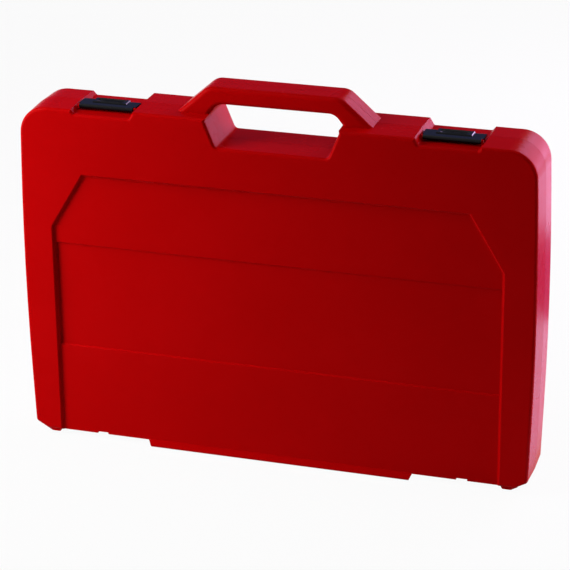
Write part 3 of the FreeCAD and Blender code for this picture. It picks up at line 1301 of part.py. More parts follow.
socket_yoke, cross, drive_yoke = universal_joint()
save(socket_yoke, "joint_socket_yoke")
save(cross, "joint_cross")
save(drive_yoke, "joint_drive_yoke")
joint_bay = (JOINT_PIVOT.x - JOINT_EAR_REACH, JOINT_PIVOT.x + JOINT_POCKET_RIGHT)
pockets.append(trough_x(JOINT_LEFT - POCKET_END, JOINT_PIVOT.x, JOINT_Y, QUARTER_SOCKET_ROW,
                        JOINT_R + POCKET_CLEARANCE))
pockets.append(bay(*joint_bay, QUARTER_SOCKET_ROW - JOINT_POCKET_HALF, QUARTER_SOCKET_ROW + JOINT_POCKET_HALF,
                   JOINT_Y + JOINT_POCKET_DEPTH))
troughs.append((JOINT_LEFT - POCKET_END, joint_bay[0], QUARTER_SOCKET_ROW))
troughs.append((*joint_bay, QUARTER_SOCKET_ROW))

handle, shaft = spinner()
save(handle, "spinner_handle")
save(shaft, "spinner_shaft")
grip_left = RIGHT_BLOCK_LEFT + SPINNER_SHAFT
grip_right = grip_left + SPINNER_GRIP + POCKET_CLEARANCE
pockets.append(trough_x(RIGHT_BLOCK_LEFT - POCKET_CLEARANCE, grip_left, TOOL_AXIS_Y, LOWER_ROW,
                        SPINNER_SHAFT_R + 2 * POCKET_CLEARANCE))
pockets.append(trough_x(grip_left, grip_right, TOOL_AXIS_Y, LOWER_ROW, SPINNER_GRIP_R + POCKET_CLEARANCE))

ratchets = (("half", HALF_RATCHET, ROW_LEFT), ("quarter", QUARTER_RATCHET, RIGHT_BLOCK_LEFT))
for drive_name, sizes, left in ratchets:
    pieces, seats = ratchet(sizes, left)
    pockets += seats
    for piece in pieces:
        save(pieces[piece], "%s_ratchet_%s" % (drive_name, piece))

cells = tray_cells(row_cuts["half"], row_cuts["quarter"], troughs)
save(parted(base_tray(pockets), cells), "base_tray")
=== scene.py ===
# %% [markdown]
# # A moulded tool case and the socket set inside it
#
# The case is two red plastic shells that meet in the middle, with a handle moulded into them and two black
# latches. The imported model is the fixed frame: every solid of it is already at its real size and place, in
# metres. This lesson dresses that frame. It gives each solid a finish, adds the pieces that only show from
# close up, and sets up a camera and soft lamps as in the photograph.

# %% Load the frame
import json
import math

import bpy
import numpy as np
from mathutils import Matrix, Vector


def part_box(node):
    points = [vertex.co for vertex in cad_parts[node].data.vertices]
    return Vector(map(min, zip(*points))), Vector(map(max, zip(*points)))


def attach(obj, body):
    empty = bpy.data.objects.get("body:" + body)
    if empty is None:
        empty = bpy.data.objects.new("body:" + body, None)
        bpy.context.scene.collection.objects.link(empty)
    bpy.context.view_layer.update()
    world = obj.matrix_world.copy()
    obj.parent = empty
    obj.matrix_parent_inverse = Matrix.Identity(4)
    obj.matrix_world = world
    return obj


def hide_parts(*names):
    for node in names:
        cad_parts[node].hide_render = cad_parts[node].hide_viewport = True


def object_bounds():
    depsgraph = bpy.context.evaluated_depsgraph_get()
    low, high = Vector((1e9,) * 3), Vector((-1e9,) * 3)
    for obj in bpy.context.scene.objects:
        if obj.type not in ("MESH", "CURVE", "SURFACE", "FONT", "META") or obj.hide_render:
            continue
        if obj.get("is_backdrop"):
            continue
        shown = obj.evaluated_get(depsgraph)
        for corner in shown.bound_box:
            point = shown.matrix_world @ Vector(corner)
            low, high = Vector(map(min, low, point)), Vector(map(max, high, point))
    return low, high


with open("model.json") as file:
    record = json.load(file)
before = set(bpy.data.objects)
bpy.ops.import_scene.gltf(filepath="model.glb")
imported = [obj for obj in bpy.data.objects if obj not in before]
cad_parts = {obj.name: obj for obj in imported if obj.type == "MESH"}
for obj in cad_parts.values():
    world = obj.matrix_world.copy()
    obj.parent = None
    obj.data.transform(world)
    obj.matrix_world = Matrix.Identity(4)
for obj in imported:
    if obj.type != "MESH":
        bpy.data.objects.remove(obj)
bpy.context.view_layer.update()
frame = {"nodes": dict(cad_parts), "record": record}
scene = bpy.context.scene
nodes = frame["nodes"]

# %% [markdown]
# ## Camera
#
# The photograph was taken from the front, a little to the right and above, through a long lens. A camera can
# be aimed with angles or with a constraint. Here its place and axes were found by matching corners of the
# case to the photograph, so it is written as a matrix whose columns are its right, up and backward directions.

# %% Camera
CAMERA_PLACE = Vector((0.64082, -2.03794, 1.07040))
CAMERA_FORWARD = Vector((-0.27571, 0.88009, -0.38657))
CAMERA_UP = Vector((-0.10542, 0.37204, 0.92221))
LENS_MM = 153.28
CLIP_END = 50.0


def aim(place, forward, up):
    """Matrix whose columns are right, up, backward and place, with right = forward x up made square."""
    right = forward.cross(up).normalized()
    true_up = right.cross(forward).normalized()
    turn = Matrix((right, true_up, -forward.normalized())).transposed()
    return Matrix.Translation(place) @ turn.to_4x4()


camera = bpy.data.objects.new("camera", bpy.data.cameras.new("camera"))
scene.collection.objects.link(camera)
camera.data.lens = LENS_MM
camera.data.clip_end = CLIP_END
camera.matrix_world = aim(CAMERA_PLACE, CAMERA_FORWARD, CAMERA_UP)
scene.camera = camera
print("camera at", tuple(CAMERA_PLACE), "lens", LENS_MM, "mm")

# %% [markdown]
# ## Node helpers
#
# Materials and the world are trees of nodes. The same few moves come up in all of them: start an empty tree,
# put a number or a link into a socket, join two values, mix two shaders. Each move is a short function, so
# that a material further down reads like its description.

# %% Node helpers
def new_material(name):
    """Empty node material, with its node tree and output."""
    material = bpy.data.materials.new(name)
    material.use_nodes = True
    tree = material.node_tree
    tree.nodes.clear()
    output = tree.nodes.new("ShaderNodeOutputMaterial")
    return material, tree, output


def feed(tree, value, target):
    """Puts a value into a socket: a number is set on it, and another socket is linked to it."""
    if isinstance(value, (int, float)):
        target.default_value = value
    else:
        tree.links.new(value, target)


def add_math(tree, operation, first, second):
    """Result of a two-value operation on numbers or sockets."""
    node = tree.nodes.new("ShaderNodeMath")
    node.operation = operation
    feed(tree, first, node.inputs[0])
    feed(tree, second, node.inputs[1])
    return node.outputs[0]


def mix_shaders(tree, share, first, second, output):
    """Mix of two shader nodes into an output: share 0 gives the first, 1 the second."""
    mix = tree.nodes.new("ShaderNodeMixShader")
    tree.links.new(share, mix.inputs["Fac"])
    tree.links.new(first.outputs[0], mix.inputs[1])
    tree.links.new(second.outputs[0], mix.inputs[2])
    tree.links.new(mix.outputs[0], output.inputs["Surface"])


def seen_directly(tree):
    """1 for rays from the camera, from mirrors and through glass, 0 for the rest."""
    path = tree.nodes.new("ShaderNodeLightPath").outputs
    camera_or_mirror = add_math(tree, "MAXIMUM", path["Is Camera Ray"], path["Is Glossy Ray"])
    return add_math(tree, "MAXIMUM", camera_or_mirror, path["Is Transmission Ray"])


print("node helpers: new_material, feed, add_math, mix_shaders, seen_directly")

# %% [markdown]
# ## World and floor
#
# The picture has a plain white ground. More light would make any ground white, but it would bleach the case
# too. Instead the Light Path node makes the world white to the camera and to mirror rays, and dim to all
# others. The floor is mostly clear to the camera: what is left of it carries the soft shadow under the case.
# It is also clear to shadow rays, so the lid stays lit when it swings down past the floor.

# %% World and floor
AMBIENT = 0.02
SKY_TINT = (0.93, 0.96, 1.0, 1.0)
WHITE = (1.0, 1.0, 1.0, 1.0)
FLOOR_TONE = (0.55, 0.55, 0.56, 1.0)
FLOOR_CLEAR = 0.95
FLOOR_SIZE = 12.0


def add_background(tree, colour, strength):
    """Background shader of one colour and strength."""
    background = tree.nodes.new("ShaderNodeBackground")
    background.inputs["Color"].default_value = colour
    background.inputs["Strength"].default_value = strength
    return background


def white_world():
    """World that is white where it is seen and dim where it only lights."""
    world = bpy.data.worlds.new("white_ground")
    world.use_nodes = True
    tree = world.node_tree
    tree.nodes.clear()
    dim = add_background(tree, SKY_TINT, AMBIENT)
    white = add_background(tree, WHITE, 1.0)
    mix_shaders(tree, seen_directly(tree), dim, white, tree.nodes.new("ShaderNodeOutputWorld"))
    return world


def floor_material():
    """Pale matt floor: a thin veil where it is seen, directly or in mirrors, and clear to shadow rays."""
    material, tree, output = new_material("pale_floor")
    clear_share = add_math(tree, "MULTIPLY", seen_directly(tree), FLOOR_CLEAR)
    shadow = tree.nodes.new("ShaderNodeLightPath").outputs["Is Shadow Ray"]
    matt = tree.nodes.new("ShaderNodeBsdfDiffuse")
    matt.inputs["Color"].default_value = FLOOR_TONE
    clear = tree.nodes.new("ShaderNodeBsdfTransparent")
    mix_shaders(tree, add_math(tree, "MAXIMUM", clear_share, shadow), matt, clear, output)
    return material


def flat_square(name, width, depth, material):
    """Rectangle (w u, d v, 0), with u and v from -1/2 to 1/2."""
    corners = np.array([(-0.5, -0.5, 0.0), (0.5, -0.5, 0.0), (0.5, 0.5, 0.0), (-0.5, 0.5, 0.0)])
    mesh = bpy.data.meshes.new(name)
    mesh.from_pydata((corners * (width, depth, 1.0)).tolist(), [], [(0, 1, 2, 3)])
    mesh.materials.append(material)
    made = bpy.data.objects.new(name, mesh)
    scene.collection.objects.link(made)
    return made


scene.world = white_world()
floor = flat_square("floor", FLOOR_SIZE, FLOOR_SIZE, floor_material())
floor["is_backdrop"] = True
scene.view_settings.view_transform = "Standard"
print("floor", FLOOR_SIZE, "m square, clear share", FLOOR_CLEAR)

# %% [markdown]
# ## Lamps
#
# In the photograph a large soft light on the left lets the front fade from bright to deep red, and a violet
# one behind on the right skims the faces that look that way. Area lamps give such soft light. The lamp on the
# left is aimed at the left end and its beam is narrowed, which makes the fade as strong as in the photograph.
# The other lamps fill the low front, the side, the top and the back. Two are hidden from mirror rays, because
# their image would wash out the side and the top of the case.

# %% Lamps
MIDDLE = Vector((0.0, 0.0, 0.19))
LEFT_END = Vector((-0.22, 0.0, 0.17))
PLAIN = (1.0, 1.0, 1.0)
DUSK = (0.75, 0.50, 1.0)
WIDEST = 180.0


def turned(place, direction, axis):
    """Matrix that puts an object at a place and turns one of its axes to a direction."""
    return Matrix.Translation(place) @ direction.to_track_quat(axis, "Y").to_matrix().to_4x4()


def soft_lamp(name, place, size, power, colour=PLAIN, mirrored=True, target=MIDDLE, spread=WIDEST):
    """Lamp facing a target with a beam of spread degrees, unseen by the camera and, if asked, in mirrors."""
    data = bpy.data.lights.new(name, "AREA")
    data.shape = "RECTANGLE"
    data.size, data.size_y = size
    data.energy = power
    data.color = colour
    data.spread = math.radians(spread)
    lamp = bpy.data.objects.new(name, data)
    lamp.matrix_world = turned(Vector(place), target - Vector(place), "-Z")
    lamp.visible_camera = False
    lamp.visible_glossy = mirrored
    scene.collection.objects.link(lamp)
    return lamp


lamps = [
    soft_lamp("key_left", (-0.76, -0.38, 0.64), (0.45, 0.7), 2.9, target=LEFT_END, spread=96.0),
    soft_lamp("key_low", (-0.86, -0.50, 0.20), (0.4, 0.3), 3.1),
    soft_lamp("over_front", (-0.30, -0.42, 1.45), (0.35, 0.35), 1.2),
    soft_lamp("side_right", (1.05, 0.12, 0.55), (0.4, 0.4), 1.6),
    soft_lamp("side_low", (1.0, 0.35, 0.12), (0.5, 0.2), 2.6),
    soft_lamp("skim_right", (0.62, 1.35, 0.85), (0.7, 0.6), 13.5, DUSK),
    soft_lamp("skim_low", (0.75, 1.10, 0.30), (0.7, 0.4), 8.5, DUSK),
    soft_lamp("wash_right", (1.15, 0.30, 0.80), (0.5, 0.5), 2.2, mirrored=False),
    soft_lamp("wash_back", (0.66, 1.28, 0.68), (0.7, 0.8), 7.0, mirrored=False),
    soft_lamp("over_top", (0.32, 0.10, 1.25), (0.5, 0.4), 1.1),
]
print("lamps:", [lamp.name for lamp in lamps])

# %% [markdown]
# ## Cards for mirror rays
#
# Plastic seen at a low angle mirrors what lies behind and beside it: in a studio, lit card and a lit table.
# A panorama round the scene could stand for them, but a few glowing rectangles are enough and easy to move.
# Only mirror rays meet them, so they set the sheen of the side and the top and light nothing else.

# %% Mirror cards
UPWARD = (0.0, 0.0, 1.0)
CARD_LIFT = 0.002


def mirror_card(name, place, size, facing, colour):
    """Glowing rectangle at a place, turned to face a direction, that only mirror rays meet."""
    material, tree, output = new_material(name)
    glow = tree.nodes.new("ShaderNodeEmission")
    glow.inputs["Color"].default_value = (*colour, 1.0)
    glow.inputs["Strength"].default_value = 1.0
    tree.links.new(glow.outputs[0], output.inputs["Surface"])
    card = flat_square(name, *size, material)
    card.matrix_world = turned(Vector(place), Vector(facing), "Z")
    card.visible_camera = False
    card.visible_diffuse = False
    card.visible_shadow = False
    card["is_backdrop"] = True
    return card


cards = [
    mirror_card("back_card", (-0.75, 1.50, 0.95), (1.9, 1.5), (0.75, -1.50, -0.76), (0.12, 0.14, 0.32)),
    mirror_card("near_card", (0.64, 0.13, CARD_LIFT), (0.76, 0.50), UPWARD, (2.20, 2.00, 3.10)),
    mirror_card("middle_card", (0.76, 0.52, CARD_LIFT), (1.0, 0.28), UPWARD, (0.45, 0.20, 0.75)),
    mirror_card("far_card", (0.80, 1.02, CARD_LIFT), (1.0, 0.72), UPWARD, (3.40, 2.80, 4.80)),
]
print("cards:", [card.name for card in cards])

# %% [markdown]
# ## Skin of moulded plastic
#
# Moulded plastic is never quite flat: the mould's spark-eroded skin leaves a fine grain, and the melt leaves
# faint clouds in the colour. Image textures could show both, but noise needs no file and has no seams.
# Several finishes use this effect, so it is a node group, built once. A group hands out only masks and
# heights; the shader that uses them stays in the material.

# %% Mould skin
def add_socket(group, name, direction, value=None, kind="NodeSocketFloat"):
    """Adds one named input or output to a node group."""
    made = group.interface.new_socket(name=name, in_out=direction, socket_type=kind)
    if value is not None:
        made.default_value = value


def group_ends(group):
    """Input and output nodes of a group."""
    return group.nodes.new("NodeGroupInput"), group.nodes.new("NodeGroupOutput")


def add_noise(tree, vector, scale, detail, roughness):
    """Noise texture read at a vector; scale is a number or a socket."""
    noise = tree.nodes.new("ShaderNodeTexNoise")
    noise.inputs["Detail"].default_value = detail
    noise.inputs["Roughness"].default_value = roughness
    tree.links.new(vector, noise.inputs["Vector"])
    feed(tree, scale, noise.inputs["Scale"])
    return noise.outputs["Fac"]


def add_range(tree, value, low, high, start=0.3, stop=0.7):
    """Maps a mask from start..stop to low..high, whose ends are numbers or sockets."""
    mapped = tree.nodes.new("ShaderNodeMapRange")
    mapped.inputs["From Min"].default_value = start
    mapped.inputs["From Max"].default_value = stop
    tree.links.new(value, mapped.inputs["Value"])
    feed(tree, low, mapped.inputs["To Min"])
    feed(tree, high, mapped.inputs["To Max"])
    return mapped.outputs["Result"]


def mould_skin_group():
    """Grain height, cloud mask and roughness of a moulded plastic skin, read from Object coordinates."""
    group = bpy.data.node_groups.new("mould_skin", "ShaderNodeTree")
    add_socket(group, "Grain Scale", "INPUT", 1600.0)
    add_socket(group, "Cloud Scale", "INPUT", 9.0)
    add_socket(group, "Rough Low", "INPUT", 0.34)
    add_socket(group, "Rough High", "INPUT", 0.44)
    for name in ("Grain", "Clouds", "Roughness"):
        add_socket(group, name, "OUTPUT")
    start, end = group_ends(group)
    place = group.nodes.new("ShaderNodeTexCoord").outputs["Object"]
    grain = add_noise(group, place, start.outputs["Grain Scale"], detail=2.0, roughness=0.55)
    clouds = add_noise(group, place, start.outputs["Cloud Scale"], detail=4.0, roughness=0.6)
    rough = add_range(group, clouds, start.outputs["Rough Low"], start.outputs["Rough High"])
    group.links.new(grain, end.inputs["Grain"])
    group.links.new(add_range(group, clouds, 0.0, 1.0), end.inputs["Clouds"])
    group.links.new(rough, end.inputs["Roughness"])
    return group


mould_skin = mould_skin_group()
print("node group", mould_skin.name, "with", len(mould_skin.interface.items_tree), "sockets")

# %% [markdown]
# ## Marks of turned steel
#
# Turned steel carries fine rings round its axis and faint smudges from handling. Rings could be a Wave
# texture, but those are too even. Noise that is stretched strongly in one direction gives rings that differ
# from each other, and the stretch can be set for each way that a tool lies.

# %% Turning marks
FINE, COARSE = 4000.0, 30.0
ALONG_X = (FINE, COARSE, COARSE)
ALONG_Y = (COARSE, FINE, COARSE)
ALONG_Z = (COARSE, COARSE, FINE)


def turning_group():
    """Ring height, smudge mask and roughness of turned steel; Stretch is large along the axis."""
    group = bpy.data.node_groups.new("turning_marks", "ShaderNodeTree")
    add_socket(group, "Stretch", "INPUT", ALONG_Z, "NodeSocketVector")
    add_socket(group, "Rough Low", "INPUT", 0.10)
    add_socket(group, "Rough High", "INPUT", 0.22)
    for name in ("Rings", "Smudge", "Roughness"):
        add_socket(group, name, "OUTPUT")
    start, end = group_ends(group)
    place = group.nodes.new("ShaderNodeTexCoord").outputs["Object"]
    stretched = group.nodes.new("ShaderNodeVectorMath")
    stretched.operation = "MULTIPLY"
    group.links.new(place, stretched.inputs[0])
    group.links.new(start.outputs["Stretch"], stretched.inputs[1])
    rings = add_noise(group, stretched.outputs["Vector"], 1.0, detail=3.0, roughness=0.6)
    smudge = add_noise(group, place, 60.0, detail=4.0, roughness=0.65)
    rough = add_range(group, smudge, start.outputs["Rough Low"], start.outputs["Rough High"])
    group.links.new(rings, end.inputs["Rings"])
    group.links.new(add_range(group, smudge, 0.0, 1.0), end.inputs["Smudge"])
    group.links.new(rough, end.inputs["Roughness"])
    return group


turning_marks = turning_group()
print("node group", turning_marks.name, "with", len(turning_marks.interface.items_tree), "sockets")

# %% [markdown]
# ## Plastics and rubbers
#
# The shells are red plastic, the latches glossy black, the tray matt black, and the grips rubber. They differ
# only in numbers, so one function makes them all from a table. Colour, roughness and fine height change over
# the surface and come from the group; what is the same all over is set on the shader's own sockets.
# The red has a low mirror level: it hardly shines face on, and glows where it is seen at a low angle.

# %% Plastics and rubbers
GRAIN_STRENGTH = 0.35
# Dark tone, light tone, roughness range, grain scale, grain depth, mirror level and cloud scale
PLASTICS = {
    "red_plastic": ((0.425, 0.0004, 0.0008), (0.455, 0.0007, 0.0014),
                    (0.24, 0.30), 1500.0, 0.00012, 0.012, 9.0),
    "black_plastic": ((0.0028, 0.0028, 0.0034), (0.0045, 0.0045, 0.0052),
                      (0.15, 0.20), 1800.0, 0.00004, 0.11, 9.0),
    "tray_plastic": ((0.022, 0.022, 0.024), (0.034, 0.034, 0.037),
                     (0.42, 0.55), 1200.0, 0.00015, 0.35, 9.0),
    "grip_rubber": ((0.014, 0.014, 0.015), (0.026, 0.026, 0.028),
                    (0.52, 0.66), 900.0, 0.00020, 0.30, 30.0),
    "black_rubber": ((0.012, 0.012, 0.012), (0.020, 0.020, 0.021),
                     (0.58, 0.72), 700.0, 0.00020, 0.25, 30.0),
}


def use_group(tree, group, **values):
    """Places a node group in a material with its own input values."""
    node = tree.nodes.new("ShaderNodeGroup")
    node.node_tree = group
    for name, value in values.items():
        node.inputs[name.replace("_", " ")].default_value = value
    return node


def two_tone(tree, mask, dark, light):
    """Colour that moves between two tones with a mask."""
    mix = tree.nodes.new("ShaderNodeMix")
    mix.data_type = "RGBA"
    tree.links.new(mask, mix.inputs["Factor"])
    mix.inputs["A"].default_value = (*dark, 1.0)
    mix.inputs["B"].default_value = (*light, 1.0)
    return mix.outputs["Result"]


def raise_skin(tree, height, strength, distance, shader):
    """Bump from a height, into the shader's normal."""
    bump = tree.nodes.new("ShaderNodeBump")
    bump.inputs["Strength"].default_value = strength
    bump.inputs["Distance"].default_value = distance
    tree.links.new(height, bump.inputs["Height"])
    tree.links.new(bump.outputs["Normal"], shader.inputs["Normal"])


def plastic(name, dark, light, rough, grain_scale, depth, mirror, cloud_scale):
    """Moulded plastic: clouded colour, grained skin, mirror level set on the shader."""
    material, tree, output = new_material(name)
    shader = tree.nodes.new("ShaderNodeBsdfPrincipled")
    shader.inputs["Specular IOR Level"].default_value = mirror
    skin = use_group(tree, mould_skin, Grain_Scale=grain_scale, Cloud_Scale=cloud_scale,
                     Rough_Low=rough[0], Rough_High=rough[1])
    tree.links.new(two_tone(tree, skin.outputs["Clouds"], dark, light), shader.inputs["Base Color"])
    tree.links.new(skin.outputs["Roughness"], shader.inputs["Roughness"])
    raise_skin(tree, skin.outputs["Grain"], GRAIN_STRENGTH, depth, shader)
    tree.links.new(shader.outputs["BSDF"], output.inputs["Surface"])
    return material


finishes = {name: plastic(name, *values) for name, values in PLASTICS.items()}
print("finishes:", sorted(finishes))

# %% [markdown]
# ## Metals
#
# The tools are chromed, other pieces are bare or dark steel, and pins and screws have tones of their own.
# A metal is a Principled shader with Metallic at 1, whose colour is the colour of its mirror image.
# Chrome comes twice, because the rings follow the axis: sockets stand upright and the bars lie.

# %% Metals
RING_STRENGTH = 0.3
CHROME_TONES = ((0.50, 0.51, 0.53), (0.62, 0.62, 0.64), (0.08, 0.18))
# Dark tone, light tone, roughness range, ring direction and ring depth
METALS = {
    "chrome_upright": (*CHROME_TONES, ALONG_Z, 0.00003),
    "chrome_lying": (*CHROME_TONES, ALONG_X, 0.00003),
    "bare_steel": ((0.50, 0.50, 0.51), (0.62, 0.62, 0.62), (0.22, 0.36), ALONG_Y, 0.00004),
    "dark_steel": ((0.09, 0.09, 0.10), (0.15, 0.15, 0.155), (0.30, 0.45), ALONG_Y, 0.00004),
    "pin_steel": ((0.48, 0.48, 0.49), (0.58, 0.58, 0.59), (0.25, 0.40), ALONG_X, 0.00004),
    "screw_steel": ((0.44, 0.43, 0.40), (0.55, 0.54, 0.50), (0.25, 0.40), ALONG_Y, 0.00004),
}


def steel(name, dark, light, rough, stretch, depth):
    """Metal with fine turning marks and faint smudges."""
    material, tree, output = new_material(name)
    shader = tree.nodes.new("ShaderNodeBsdfPrincipled")
    shader.inputs["Metallic"].default_value = 1.0
    marks = use_group(tree, turning_marks, Stretch=stretch, Rough_Low=rough[0], Rough_High=rough[1])
    tree.links.new(two_tone(tree, marks.outputs["Smudge"], dark, light), shader.inputs["Base Color"])
    tree.links.new(marks.outputs["Roughness"], shader.inputs["Roughness"])
    raise_skin(tree, marks.outputs["Rings"], RING_STRENGTH, depth, shader)
    tree.links.new(shader.outputs["BSDF"], output.inputs["Surface"])
    return material


finishes.update({name: steel(name, *values) for name, values in METALS.items()})
print("finishes:", sorted(METALS))

# %% [markdown]
# ## Dress the solids
#
# The record of the part names a material slot for every solid, so the finishes need no list of pieces here.
# A solid's mesh belongs to the frame and stays as it is: only its material is set. The foam's solid takes the
# tray's finish for now, because a softer surface replaces it below.

# %% Dress the solids
slot_of = {part["node"]: part["material_slot"] for part in frame["record"]["subparts"]}


def is_graded_socket(node):
    """Whether a solid is one of the graded sockets, which stand upright in the tray."""
    return "_socket_" in node and node.endswith("mm")


def finish_of(node):
    """Finish of a solid: its slot's, with chrome turned the way the tool lies."""
    slot = slot_of[node]
    if slot == "chrome":
        return finishes["chrome_upright" if is_graded_socket(node) else "chrome_lying"]
    return finishes.get(slot, finishes["tray_plastic"])


for name, node in nodes.items():
    node.data.materials.clear()
    node.data.materials.append(finish_of(name))
print("dressed", len(nodes), "solids")

# %% [markdown]
# ## Surfaces from arrays
#
# The new pieces are surfaces over a grid of two parameters. Blender's own primitives could be bent to shape,
# but a formula says exactly where each point lies. The points of a grid are numbered row by row, so its faces
# are sums of whole arrays. Every piece is made at the origin and rides on the body that carries it.

# %% Surface helpers
def grid_faces(rows, columns, closed=False):
    """Quads of a rows x columns grid numbered row by row; closed joins the last column to the first."""
    row = np.arange(rows - 1)[:, None] * columns
    column = np.arange(columns if closed else columns - 1)[None, :]
    after = (column + 1) % columns
    above = row + columns
    return np.stack([row + column, row + after, above + after, above + column], -1).reshape(-1, 4)


def join(parts):
    """One (points, faces) pair from several: the faces of each are numbered on from the points before it."""
    starts = np.cumsum([0] + [len(points) for points, _ in parts[:-1]])
    faces = [faces + start for (_, faces), start in zip(parts, starts)]
    return np.concatenate([points for points, _ in parts]), np.concatenate(faces)


def add_piece(name, points, faces, material, body, smooth=True):
    """Mesh object from arrays, at the origin, riding on a body."""
    mesh = bpy.data.meshes.new(name)
    mesh.from_pydata(np.asarray(points, float).tolist(), [], np.asarray(faces).tolist())
    mesh.polygons.foreach_set("use_smooth", np.full(len(mesh.polygons), smooth))
    mesh.materials.append(material)
    mesh.update()
    piece = bpy.data.objects.new(name, mesh)
    scene.collection.objects.link(piece)
    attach(piece, body)
    print("piece", name, len(mesh.vertices), "points,", len(mesh.polygons), "faces")
    return piece


print("a grid of 3 rows and 4 columns has", len(grid_faces(3, 4)), "faces")

# %% [markdown]
# ## Foam finish
#
# Foam is a heap of open cells, each about a millimetre wide. Real holes would need millions of faces, so a
# Voronoi texture gives the pits as a height, and the same mask paints shade into them. A little sheen stands
# for the thin walls between the cells, which catch the light at the edges.

# %% Foam finish
CELL_SCALE = 900.0
CELL_DEPTH = -0.0006
# The rim tone is the foam's own colour; the pit tone is painted shade inside the cells.
FOAM_RIM_TONE = (0.052, 0.052, 0.056)
FOAM_PIT_SHADE = (0.024, 0.024, 0.027)


def foam_material():
    """Charcoal foam: open cells as a fine pitted height, with painted shade in the pits, in uneven patches."""
    material, tree, output = new_material("foam")
    shader = tree.nodes.new("ShaderNodeBsdfPrincipled")
    shader.inputs["Specular IOR Level"].default_value = 0.10
    shader.inputs["Sheen Weight"].default_value = 0.25
    place = tree.nodes.new("ShaderNodeTexCoord").outputs["Object"]
    cells = tree.nodes.new("ShaderNodeTexVoronoi")
    cells.inputs["Scale"].default_value = CELL_SCALE
    tree.links.new(place, cells.inputs["Vector"])
    pits = add_range(tree, cells.outputs["Distance"], 0.0, 1.0, start=0.05, stop=0.55)
    patches = add_noise(tree, place, 40.0, detail=4.0, roughness=0.6)
    # Painted shade: the colour darkens towards the pit tone in the pits, more in some patches than in others.
    shade = add_math(tree, "MULTIPLY", pits, add_range(tree, patches, 0.6, 1.0))
    tree.links.new(two_tone(tree, shade, FOAM_RIM_TONE, FOAM_PIT_SHADE), shader.inputs["Base Color"])
    tree.links.new(add_range(tree, patches, 0.86, 0.96), shader.inputs["Roughness"])
    raise_skin(tree, pits, 0.6, CELL_DEPTH, shader)
    tree.links.new(shader.outputs["BSDF"], output.inputs["Surface"])
    return material


finishes["foam"] = foam_material()
print("finish:", finishes["foam"].name)

# %% [markdown]
# ## Egg-crate foam in the lid
#
# The lid holds a sheet of egg-crate foam that faces the tools. Its outline is the lid's, with dips under the
# handle and the latches. A Displace modifier on a flat sheet could raise the humps, but its edge would not
# follow that outline. So each column of the grid runs from the lower outline to the upper one, and the height
# of the face is a product of two cosines, which gives rounded humps and hollows.

# %% Egg-crate foam
FOAM_HALF = 0.2410
FOAM_BOTTOM = 0.0146
FOAM_PITCH = 0.0236
FOAM_COLUMNS = 215
FOAM_ROWS = 139
HOLLOW_SHARE = 0.45
CORNER_ROUND = 0.0190
FOOT_CUT_X = 0.2346
FOOT_CUT_Z = 0.0182
# Upper outline in millimetres, from the middle to the right end
HANDLE_DIP = [(0.0, 309.6), (51.0, 309.6), (57.0, 310.9), (61.0, 313.8), (64.0, 318.3), (72.0, 338.0)]
LATCH_DIP = [(129.7, 338.0), (131.2, 335.5), (135.0, 331.8), (140.2, 330.4),
             (193.5, 330.4), (198.0, 331.4), (201.3, 333.9), (202.4, 335.0)]
FOAM_END = [(241.0, 335.0)]
UPPER_X, UPPER_Z = np.array(HANDLE_DIP + LATCH_DIP + FOAM_END).T / 1000


def upper_edge(x):
    """Height of the upper outline at |x|: the dips, less the fall of a quarter circle at the end corner."""
    side = np.abs(x)
    past = np.clip(side - (FOAM_HALF - CORNER_ROUND), 0.0, CORNER_ROUND)
    fall = CORNER_ROUND - np.sqrt(CORNER_ROUND ** 2 - past ** 2)
    return np.interp(side, UPPER_X, UPPER_Z) - fall


def lower_edge(x):
    """Height of the lower outline at |x|, with the foot corners cut at a slant."""
    return np.interp(np.abs(x), [0.0, FOOT_CUT_X, FOAM_HALF], [FOAM_BOTTOM, FOAM_BOTTOM, FOOT_CUT_Z])


def foam_surface():
    """Closed sheet in front of a flat back at y0, with h the share of its thickness t at the hollows:
    y = y0 + t (h + (1 - h) (1 + cos(2 pi x / p) cos(2 pi z / p)) / 2)."""
    low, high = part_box("lid_foam")
    thick = high.y - low.y
    even = np.linspace(-FOAM_HALF, FOAM_HALF, FOAM_COLUMNS)
    x = np.unique(np.concatenate([even, UPPER_X[1:-1], -UPPER_X[1:-1]]))
    share = np.linspace(0.0, 1.0, FOAM_ROWS)
    bottom, top = lower_edge(x), upper_edge(x)
    grid_z = bottom[None, :] + share[:, None] * (top - bottom)[None, :]
    grid_x = np.broadcast_to(x[None, :], grid_z.shape)
    wave = np.cos(2 * np.pi * grid_x / FOAM_PITCH) * np.cos(2 * np.pi * grid_z / FOAM_PITCH)
    face = low.y + thick * (HOLLOW_SHARE + (1 - HOLLOW_SHARE) * (1 + wave) / 2)
    front = np.stack([grid_x, face, grid_z], -1).reshape(-1, 3)
    back = np.stack([grid_x, np.full_like(face, low.y), grid_z], -1).reshape(-1, 3)
    quads = grid_faces(*grid_z.shape)
    index = np.arange(grid_z.size).reshape(grid_z.shape)
    ring = np.concatenate([index[0, :-1], index[:-1, -1], index[-1, :0:-1], index[:0:-1, 0]])
    after = np.roll(ring, -1)
    sides = np.stack([ring, after, after + grid_z.size, ring + grid_z.size], -1)
    return np.concatenate([front, back]), np.concatenate([quads[:, ::-1], quads + grid_z.size, sides])


points, faces = foam_surface()
foam = add_piece("lid_foam_eggcrate", points, faces, finishes["foam"], "lid")
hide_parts("lid_foam")

# %% [markdown]
# ## Finger ribs on the latches
#
# The tab of each latch is dished, and three low ribs in the dish give the finger a hold. Bump alone would
# leave their outline flat, so they are real surfaces. A rib is half a round bar whose radius shrinks to
# nothing at both ends. The dish is part of a cylinder, so its height at a given depth is one square root.

# %% Latch ribs
RIB_RADIUS = 0.00042
RIB_HALF = 0.0112
RIB_PLACES = (-0.0054, -0.0023, 0.0008)
RIB_ROWS, RIB_COLUMNS = 41, 13
DISH_RADIUS = 0.0110
DISH_Y, DISH_Z = -0.0023, 0.3557


